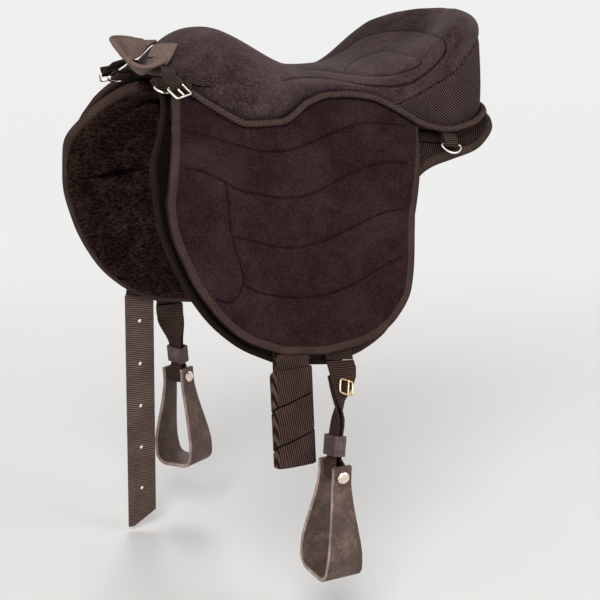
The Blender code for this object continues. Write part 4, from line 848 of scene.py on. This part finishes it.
def upholstered(node, name, material, levels, height):
    """Copy of a solid, smoothed but for its sharp edges, then pushed out by height(points, normals)."""
    item = copy_of(node, name, material)
    mode("EDIT")
    bpy.ops.mesh.select_mode(type="EDGE")
    bpy.ops.mesh.select_all(action="DESELECT")
    bpy.ops.mesh.edges_select_sharp(sharpness=SHARP_EDGE)
    mode("OBJECT")
    held = np.empty(len(item.data.edges), dtype=bool)
    item.data.edges.foreach_get("select", held)
    crease = item.data.attributes.new("crease_edge", "FLOAT", "EDGE")
    crease.data.foreach_set("value", held.astype(np.float32))
    apply(item, "SUBSURF", levels=levels, render_levels=levels)
    smooth(item)
    points, out = corners(item), corners(item, "normal")
    put_corners(item, points + out * height(points, out)[:, None])
    return item


def from_stitches(points, out):
    seams = zip(seat_stitched, SEAT_FAINT)
    return np.min([line_distance(points, line, out) + faint for line, faint in seams], axis=0)


def seat_height(points, out):
    upper = ease((out[:, 2] + 0.25) / 0.35)
    return upper * (quilt(from_stitches(points, out), 0.0026, 0.016, 0.0016, 0.0020) - 0.0012)


def wall_height(points, out):
    return 0.0012 * (out[:, 2] < 0.5)


seat = upholstered("seat_cushion", "quilted_seat", seat_suede, 3, seat_height)
seat_seam = from_stitches(corners(seat), corners(seat, "normal"))
# The map holds the distance to the nearest seam, which the suede turns into painted shade.
lay_map(seat, pair(seat_seam, seat_seam))
finish_piece(seat, "seat_cushion")

wall = upholstered("cantle_riser", "mesh_cantle_wall", wall_mesh, 2, wall_height)
wall_x, wall_y, wall_z = corners(wall).T
lay_map(wall, pair(np.arctan2(wall_y, wall_x - WALL_CENTRE) * WALL_RADIUS, wall_z))
finish_piece(wall, "cantle_riser")
print("seat:", len(seat.data.polygons), "faces; cantle wall:", len(wall.data.polygons))

# %% [markdown]
# The piping is a three-strand rope laid along the seat's edge. Its radius swells where a strand passes:
# a cosine of three times the angle, turned on by the length run, which draws the twist.

# %% Piping
ROPE_RADIUS, ROPE_STRANDS, ROPE_LAY = 0.0043, 3, 0.0150
ROPE_STEPS, ROPE_ROUND, ROPE_GIRTH = 2000, 18, 0.027


def swept(name, material, centre, section, columns, girth, closed=False, up=(0, 0, 1), aside=None):
    """Sweep along a line: section(run, turn) gives how far aside and over it each point of the ring lies."""
    run = steps_along(centre)
    ahead = np.gradient(centre, axis=0)
    if closed:
        ahead = np.roll(centre, -1, axis=0) - np.roll(centre, 1, axis=0)
        ahead[-1] = ahead[0] = centre[1] - centre[-2]
    ahead = unit(ahead)
    aside = unit(np.cross(ahead, up)) if aside is None else aside
    over = np.cross(aside, ahead)

    def place(u, v):
        i = nearest(u, len(centre) - 1)
        out, rise = section(run[i], 2 * pi * v)
        return centre[i] + aside[i] * out[:, None] + over[i] * rise[:, None], pair(run[i], v * girth)

    return grid_piece(name, material, len(centre) - 1, columns, place, caps=not closed)


x = mix(-SEAT_FRONT, SEAT_REAR, 0.5 - 0.5 * np.cos(pi * (np.arange(200) + 0.5) / 200))
left, right = (skin(x, edge_reach(x), edge_off(x), side) for side, _ in SIDES)
rope_path = even(np.concatenate((left, right[::-1], left[:1])), ROPE_STEPS, rounds=0)
rope_length = steps_along(rope_path)[-1]
rope_turns = round(rope_length / ROPE_LAY)


def rope_section(run, turn):
    wave = np.cos(ROPE_STRANDS * (turn - 2 * pi * run * rope_turns / rope_length))
    radius = ROPE_RADIUS * (0.91 + 0.13 * wave)
    return radius * np.cos(turn), radius * np.sin(turn)


rope = swept("rope_piping", cord, rope_path, rope_section, ROPE_ROUND, ROPE_GIRTH, closed=True)
finish_piece(rope, "seat_piping")
print("piping:", round(rope_length, 2), "m long,", rope_turns, "turns")

# %% [markdown]
# The panels lie under the seat and show at the rear and inside. Their mesh is drawn into upright ribs.
# The edge of each is a tube bound in tape. The far tube shows in full and is as thick as the panel's rim.
# The near one lies behind the flap: it is thin there, and thickens towards the rear, where it comes out.

# %% Panels
RIB_PITCH, RIB_HEIGHT, RIB_SINK = 0.0105, 0.0022, 0.0012
EDGE_TUBE, EDGE_TUBE_REAR = 0.0048, 0.0022
TUBE_ROUND, TUBE_GIRTH = 14, 0.030
LINED_FROM = 0.30


def panel_height(points, out):
    x, reach, off = unskin(points)
    rib = np.abs(np.sin(pi * x / RIB_PITCH)) ** 0.45
    inside = ease((panel_rear(reach) - x) / 0.012) * ease((x - panel_front(reach)) / 0.02)
    outward = np.where(off > -panel_depth(reach) * 0.5, 1.0, 0.0)
    return outward * inside * (RIB_HEIGHT * rib - RIB_SINK)


def edge_tube(side, label, inset, off, radius, material):
    """Round tube in tape along the panel's edge, set in from it by inset."""
    centre = skin(*(panel_edge + inward(panel_edge) * inset).T, off, side)
    at = steps_along(centre)

    def section(run, turn):
        here = np.interp(run, at, radius)
        return here * np.cos(turn), here * np.sin(turn)

    up = (0.0, side * 0.7, 0.7)
    return swept("panel_edge_" + label, material, centre, section, TUBE_ROUND, TUBE_GIRTH, up=up)


def line_with_pile(item):
    """The side that lies on the horse is lined with the same pile as the fleece."""
    item.data.materials.append(fleece_pile)
    middles = np.array([tuple(face.center) for face in item.data.polygons])
    _, reach, off = unskin(middles)
    item.data.polygons.foreach_set("material_index", (off < -LINED_FROM * panel_depth(reach)).astype(np.int32))


down = np.linspace(PANEL_START + 0.004, PANEL_END, 150)
panel_edge = outline(pair(panel_front(down), down), pair(panel_rear(down), down), 260)
depth = panel_depth(panel_edge[:, 1])
rim_low, rim_high = np.minimum(depth * 0.80, 0.017), depth * 0.14
middle, half = -(rim_low + rim_high) / 2, (rim_low - rim_high) / 2
near_radius = EDGE_TUBE + EDGE_TUBE_REAR * ease((panel_edge[:, 0] + 0.06) / 0.12)
TUBES = {"left": (0.002, middle + half - EDGE_TUBE * 0.6, near_radius, tube_tape),
         "right": (0.001, middle, half + 0.0006, far_tape)}
for side, label in SIDES:
    panel = upholstered("panel_" + label, "panel_cover_" + label, panel_mesh, 3, panel_height)
    x, reach, _ = unskin(corners(panel))
    lay_map(panel, pair(reach, x))
    line_with_pile(panel)
    finish_piece(panel, "panel_" + label)
    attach(edge_tube(side, label, *TUBES[label]), owner["panel_" + label])
print("panels: edge", round(steps_along(panel_edge)[-1], 2), "m round each")

# %% [markdown]
# Fleece is a base cloth with a mass of small curls. One ring is made, doubled in edit mode until there are
# enough, and then every copy gets its own place, tilt and size from a fixed list of random numbers.
# Margins keep the curls under the panel, off its rim.

# %% Fleece
CURLS = 2600
CURL_TOP, CURL_SPAN = 0.014, 0.032
CURL_FRONT, CURL_REAR = 0.016, 0.038
CURL_SMALL, CURL_LARGE = 0.0017, 0.0030


def many_rings(name, material, count):
    """One mesh with count copies of a small ring; returns it and the ring's own corners."""
    bpy.ops.mesh.primitive_torus_add(major_segments=7, minor_segments=4, major_radius=1.0, minor_radius=0.36,
                                     rotation=(pi / 2, 0, 0))
    bpy.ops.object.transform_apply(location=False, rotation=True, scale=False)
    item = bpy.context.object
    item.name = item.data.name = name
    shape = corners(item)
    mode("EDIT")
    bpy.ops.mesh.select_mode(type="VERT")
    for _ in range(int(np.ceil(np.log2(count)))):
        bpy.ops.mesh.select_all(action="SELECT")
        bpy.ops.mesh.duplicate()
    mode("OBJECT")
    spare = np.arange(len(item.data.vertices)) >= count * len(shape)
    for part, chosen in ((item.data.vertices, spare), (item.data.edges, False), (item.data.polygons, False)):
        part.foreach_set("select", np.full(len(part), chosen))
    mode("EDIT")
    bpy.ops.mesh.delete(type="VERT")
    mode("OBJECT")
    item.data.materials.append(material)
    smooth(item)
    return item, shape


def turned_frames(up, draw):
    """Frames whose Z leans about up, spun at random round it."""
    spin = draw.uniform(0, 2 * pi, len(up))
    z = unit(up + draw.normal(0, 0.45, up.shape))
    helper = np.stack((np.cos(spin), np.sin(spin), 0.3 * np.ones_like(spin)), axis=1)
    x = unit(np.cross(helper, z))
    return np.stack((x, np.cross(z, x), z), axis=2)


def fleece_height(points, out):
    return 0.0012 * (np.sin(points[:, 0] * 390) * np.sin(points[:, 1] * 410 + points[:, 2] * 360))


for side, label in SIDES:
    draw = np.random.default_rng(7 + side)
    cloth = upholstered("fleece_" + label, "fleece_cloth_" + label, fleece_pile, 2, fleece_height)
    curls, shape = many_rings("fleece_curls_" + label, fleece_pile, CURLS)
    reach = PANEL_START + CURL_TOP + (PANEL_END - PANEL_START - CURL_SPAN) * draw.uniform(0, 1, CURLS) ** 0.9
    x = mix(panel_front(reach) + CURL_FRONT, panel_rear(reach) - CURL_REAR, draw.uniform(0, 1, CURLS))
    off = -panel_depth(reach) - 0.001 - 0.008 * draw.uniform(0.75, 1.0, CURLS)
    places = skin(x, reach, off, side)
    frames = turned_frames(unit(skin(x, reach, off - 0.01, side) - places), draw)
    sizes = draw.uniform(CURL_SMALL, CURL_LARGE, CURLS)
    points = np.einsum("nij,vj->nvi", frames, shape) * sizes[:, None, None] + places[:, None, :]
    put_corners(curls, points.reshape(-1, 3))
    finish_piece(cloth, "fleece_" + label)
    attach(curls, owner["fleece_" + label])
    print(curls.name, len(curls.data.polygons), "faces")

# %% [markdown]
# The handle is a padded strap, sewn to the pommel at both ends. Each row of its table says how far
# forward, across and up its middle is and which way its width points. Its section is a flat pad whose two
# faces are held by stitching near the edges.

# %% Handle
HANDLE_ROWS = ((0, -.52, 1, .6, -.8, 0), (.18, -.74, .68, .55, -.83, -.05), (.36, -.9, .34, .3, -.95, .05),
               (.55, -.98, .11, 0, -.97, .24), (.73, -.93, 0, -.3, -.9, .3), (.88, -.71, .08, -.55, -.7, .45),
               (.97, -.38, .38, -.68, -.4, .6), (1, 0, .68, -.65, 0, .76), (.955, .38, .79, -.5, .3, .81),
               (.85, .69, .81, -.35, .4, .85), (.7, .9, .79, -.2, .45, .87), (.52, 1, .76, 0, .5, .87),
               (.35, .95, .72, .2, .6, .77), (.18, .76, .76, .45, .75, .45), (0, .52, 1, .6, .8, 0))
HANDLE_BACK, HANDLE_FORWARD, HANDLE_ACROSS, HANDLE_LOW, HANDLE_RISE = -0.208, 0.052, 0.042, 0.082, 0.028
HANDLE_WIDTH, HANDLE_THICK = 0.034, 0.0055
HANDLE_STEPS, HANDLE_ROUND, HANDLE_GIRTH = 180, 48, 0.07
SEAM_INSET, SEAM_WIDTH, SEAM_DEPTH = 0.0042, 0.0013, 0.42

ahead, across, up, *wide = np.array(HANDLE_ROWS).T
places = (HANDLE_BACK - HANDLE_FORWARD * ahead, HANDLE_ACROSS * across, HANDLE_LOW + HANDLE_RISE * up)
rows = curved(np.stack((*places, *wide), axis=1), HANDLE_STEPS + 1)
handle_line, wide = rows[:, :3], unit(rows[:, 3:])
ahead = unit(np.gradient(handle_line, axis=0))
wide = unit(wide - ahead * np.sum(wide * ahead, axis=1)[:, None])
handle_length = steps_along(handle_line)[-1]


def handle_section(run, turn):
    across, over = np.cos(turn), np.sin(turn)
    flat = np.sign(across) * np.abs(across) ** 0.55
    from_edge = (1 - np.abs(flat)) * HANDLE_WIDTH / 2
    seam = 1 - SEAM_DEPTH * np.exp(-((from_edge - SEAM_INSET) / SEAM_WIDTH) ** 2)
    end = np.minimum(run, handle_length - run)
    full = (HANDLE_THICK / 2 + 0.0006) * np.sign(over) * np.abs(over) ** 0.45
    return flat * HANDLE_WIDTH / 2, -full * seam * (0.8 + 0.2 * ease(end / 0.012))


handle = swept("padded_handle", handle_suede, handle_line, handle_section, HANDLE_ROUND, HANDLE_GIRTH,
               aside=wide)
finish_piece(handle, "handle")
print("handle:", round(handle_length, 3), "m long")

# %% [markdown]
# Straps, rings, buckles, the base sheet and the stiff inserts keep their solids. Live modifiers finish
# them: a weld joins the facets' corners, a bevel breaks the edges of webbing and leather, and smoothing
# rounds the wire. In the table a star stands for left and right.

# %% Straps and metal
DRESSED = (
    (web_down, "webbing", 0.0005, 0, "stirrup_strap_upper_* girth_strap_upper_*"),
    (web_down, "webbing", 0.0005, 0, "front_d_ring_*_tab rear_d_ring_*_tab"),
    (web_down, "webbing", 0.0006, 0, "stirrup_strap_lower_*"),
    (web_front, "webbing", 0.0005, 0, "handle_strap_* handle_tail_*"),
    (web_across, "webbing", 0.0005, 0, "stirrup_carrier girth_carrier"),
    (web_billet, "webbing", 0.0006, 0, "girth_billet_right"),
    (web_round, "webbing", 0.0006, 0, "girth_strap_folded_left"),
    (web_round, "webbing", 0.0007, 0, "girth_strap_wound_left"),
    (nickel, "nickel", None, 2, "handle_buckle_* stirrup_ring_* girth_ring_* front_d_ring_* rear_d_ring_*"),
    (nickel, "nickel", 0.0004, 0, "handle_tongue_*"),
    (copper_nickel, "nickel", 0.0006, 0, "stirrup_bolt_*"),
    (brass, "brass", None, 2, "stirrup_buckle_*"),
    (brass, "brass", 0.0004, 0, "stirrup_tongue_* bolt_sleeve_*"),
    (keeper_leather, "leather", 0.0007, 0, "keeper_*"),
    (sheet_mesh, "leather", 0.0006, 0, "base_sheet"),
    (board, "board", 0.0006, 0, "pommel_fork cantle_plate"),
    (foam, "foam", 0.0015, 0, "knee_block_*"))
BREAK_ANGLE = radians(40)


def dress(node, material, slot, bevel, rounds):
    item = nodes[node]
    item.data.materials.clear()
    item.data.materials.append(material)
    weld = item.modifiers.new("Weld", "WELD")
    weld.merge_threshold = MERGE
    if bevel:
        edge = item.modifiers.new("Bevel", "BEVEL")
        edge.width, edge.segments, edge.limit_method, edge.angle_limit = bevel, 2, "ANGLE", BREAK_ANGLE
    if rounds:
        fine = item.modifiers.new("Subdivision", "SUBSURF")
        fine.levels = fine.render_levels = rounds
        smooth(item)


dressed = 0
for *choice, names in DRESSED:
    for name in names.split():
        for node in sorted({name.replace("*", label) for _, label in SIDES}):
            dress(node, *choice)
            dressed += 1
print("dressed:", dressed, "solids")

# %% [markdown]
# A stirrup is bent from thick leather. Its faces are waxed brown and its cut edges are raw and pale, so
# the faces that look forwards or back get the edge's material.

# %% Stirrups
for _, label in SIDES:
    stirrup = copy_of("stirrup_" + label, "leather_stirrup_" + label, stirrup_leather)
    stirrup.data.materials.append(raw_edge)
    for face in stirrup.data.polygons:
        if abs(face.normal.x) > 0.75:
            face.material_index = 1
    apply(stirrup, "BEVEL", width=0.0009, segments=3, limit_method="ANGLE", angle_limit=BREAK_ANGLE)
    choose(stirrup)
    bpy.ops.object.shade_smooth_by_angle(angle=radians(35))
    finish_piece(stirrup, "stirrup_" + label)
    print(stirrup.name, len(stirrup.data.polygons), "faces")

# %% [markdown]
# The floor is pale. With distance its colour gives way to a glow in the backdrop's tone, so that no
# horizon shows.

# %% Floor
FLOOR_HEIGHT = -0.6475
FADE_START, FADE_END = 0.8, 2.3

bpy.ops.mesh.primitive_plane_add(size=400, location=(0, 0, FLOOR_HEIGHT))
floor = bpy.context.object
floor.name = "floor"
paper = Finish("floor_paper", (0.80, 0.79, 0.78), 0.9)
paper_tone = paper.noise(3.0, 2.0)
floor_x, floor_y, _ = paper.parts(paper.place())
far = paper.ramp((floor_x * floor_x + floor_y * floor_y) ** 0.5, FADE_START, FADE_END)
near_colour = paper.blend(paper_tone, (0.79, 0.78, 0.77), (0.82, 0.81, 0.80))
paper.set("Base Color", paper.blend(far, near_colour, (0.0, 0.0, 0.0)))
paper.set("Emission Color", paper.blend(far, (0.0, 0.0, 0.0), (0.80, 0.80, 0.79)))
paper.set("Emission Strength", 1.0)
floor.data.materials.append(paper.material)
print("floor at", FLOOR_HEIGHT, "m")

# %% [markdown]
# A soft main light stands at the front left, with a weak fill, one from behind for the edges and a low one
# for the near side. The world lights evenly; the camera, mirrors and clear surfaces see a pale backdrop.

# %% Light and backdrop
LIT_POINT = Vector((0.0, 0.0, -0.15))


def soft_light(name, place, size, power):
    bpy.ops.object.light_add(type="AREA", location=place)
    light = bpy.context.object
    light.name = name
    light.data.energy = power
    light.data.size = size
    light.rotation_mode = "QUATERNION"
    light.rotation_quaternion = (LIT_POINT - Vector(place)).to_track_quat("-Z", "Y")


soft_light("main_light", (-1.7, -2.4, 2.3), 1.6, 78)
soft_light("fill_light", (1.6, -2.4, 0.8), 1.8, 26)
soft_light("back_light", (0.9, 2.3, 2.0), 1.2, 34)
soft_light("low_light", (-2.4, -0.6, -0.2), 1.2, 12)

world = bpy.data.worlds.new("studio")
bpy.context.scene.world = world
world.use_nodes = True
studio = Graph(world.node_tree)
ambient = world.node_tree.nodes["Background"]
studio.feed(ambient.inputs["Color"], (1.0, 0.985, 0.97, 1.0))
studio.feed(ambient.inputs["Strength"], 0.42)
backdrop = studio.node("ShaderNodeBackground", {"Color": (0.85, 0.85, 0.842, 1.0), "Strength": 1.0})
eye, mirrored, clear = (studio.node("ShaderNodeLightPath", {}, "Is " + ray + " Ray")
                        for ray in ("Camera", "Glossy", "Transmission"))
seen = eye.larger(mirrored).larger(clear)
pick = studio.node("ShaderNodeMixShader", {0: seen, 1: Signal(studio, ambient.outputs[0]), 2: backdrop})
studio.feed(world.node_tree.nodes["World Output"].inputs["Surface"], pick)
bpy.context.scene.view_settings.view_transform = "Standard"
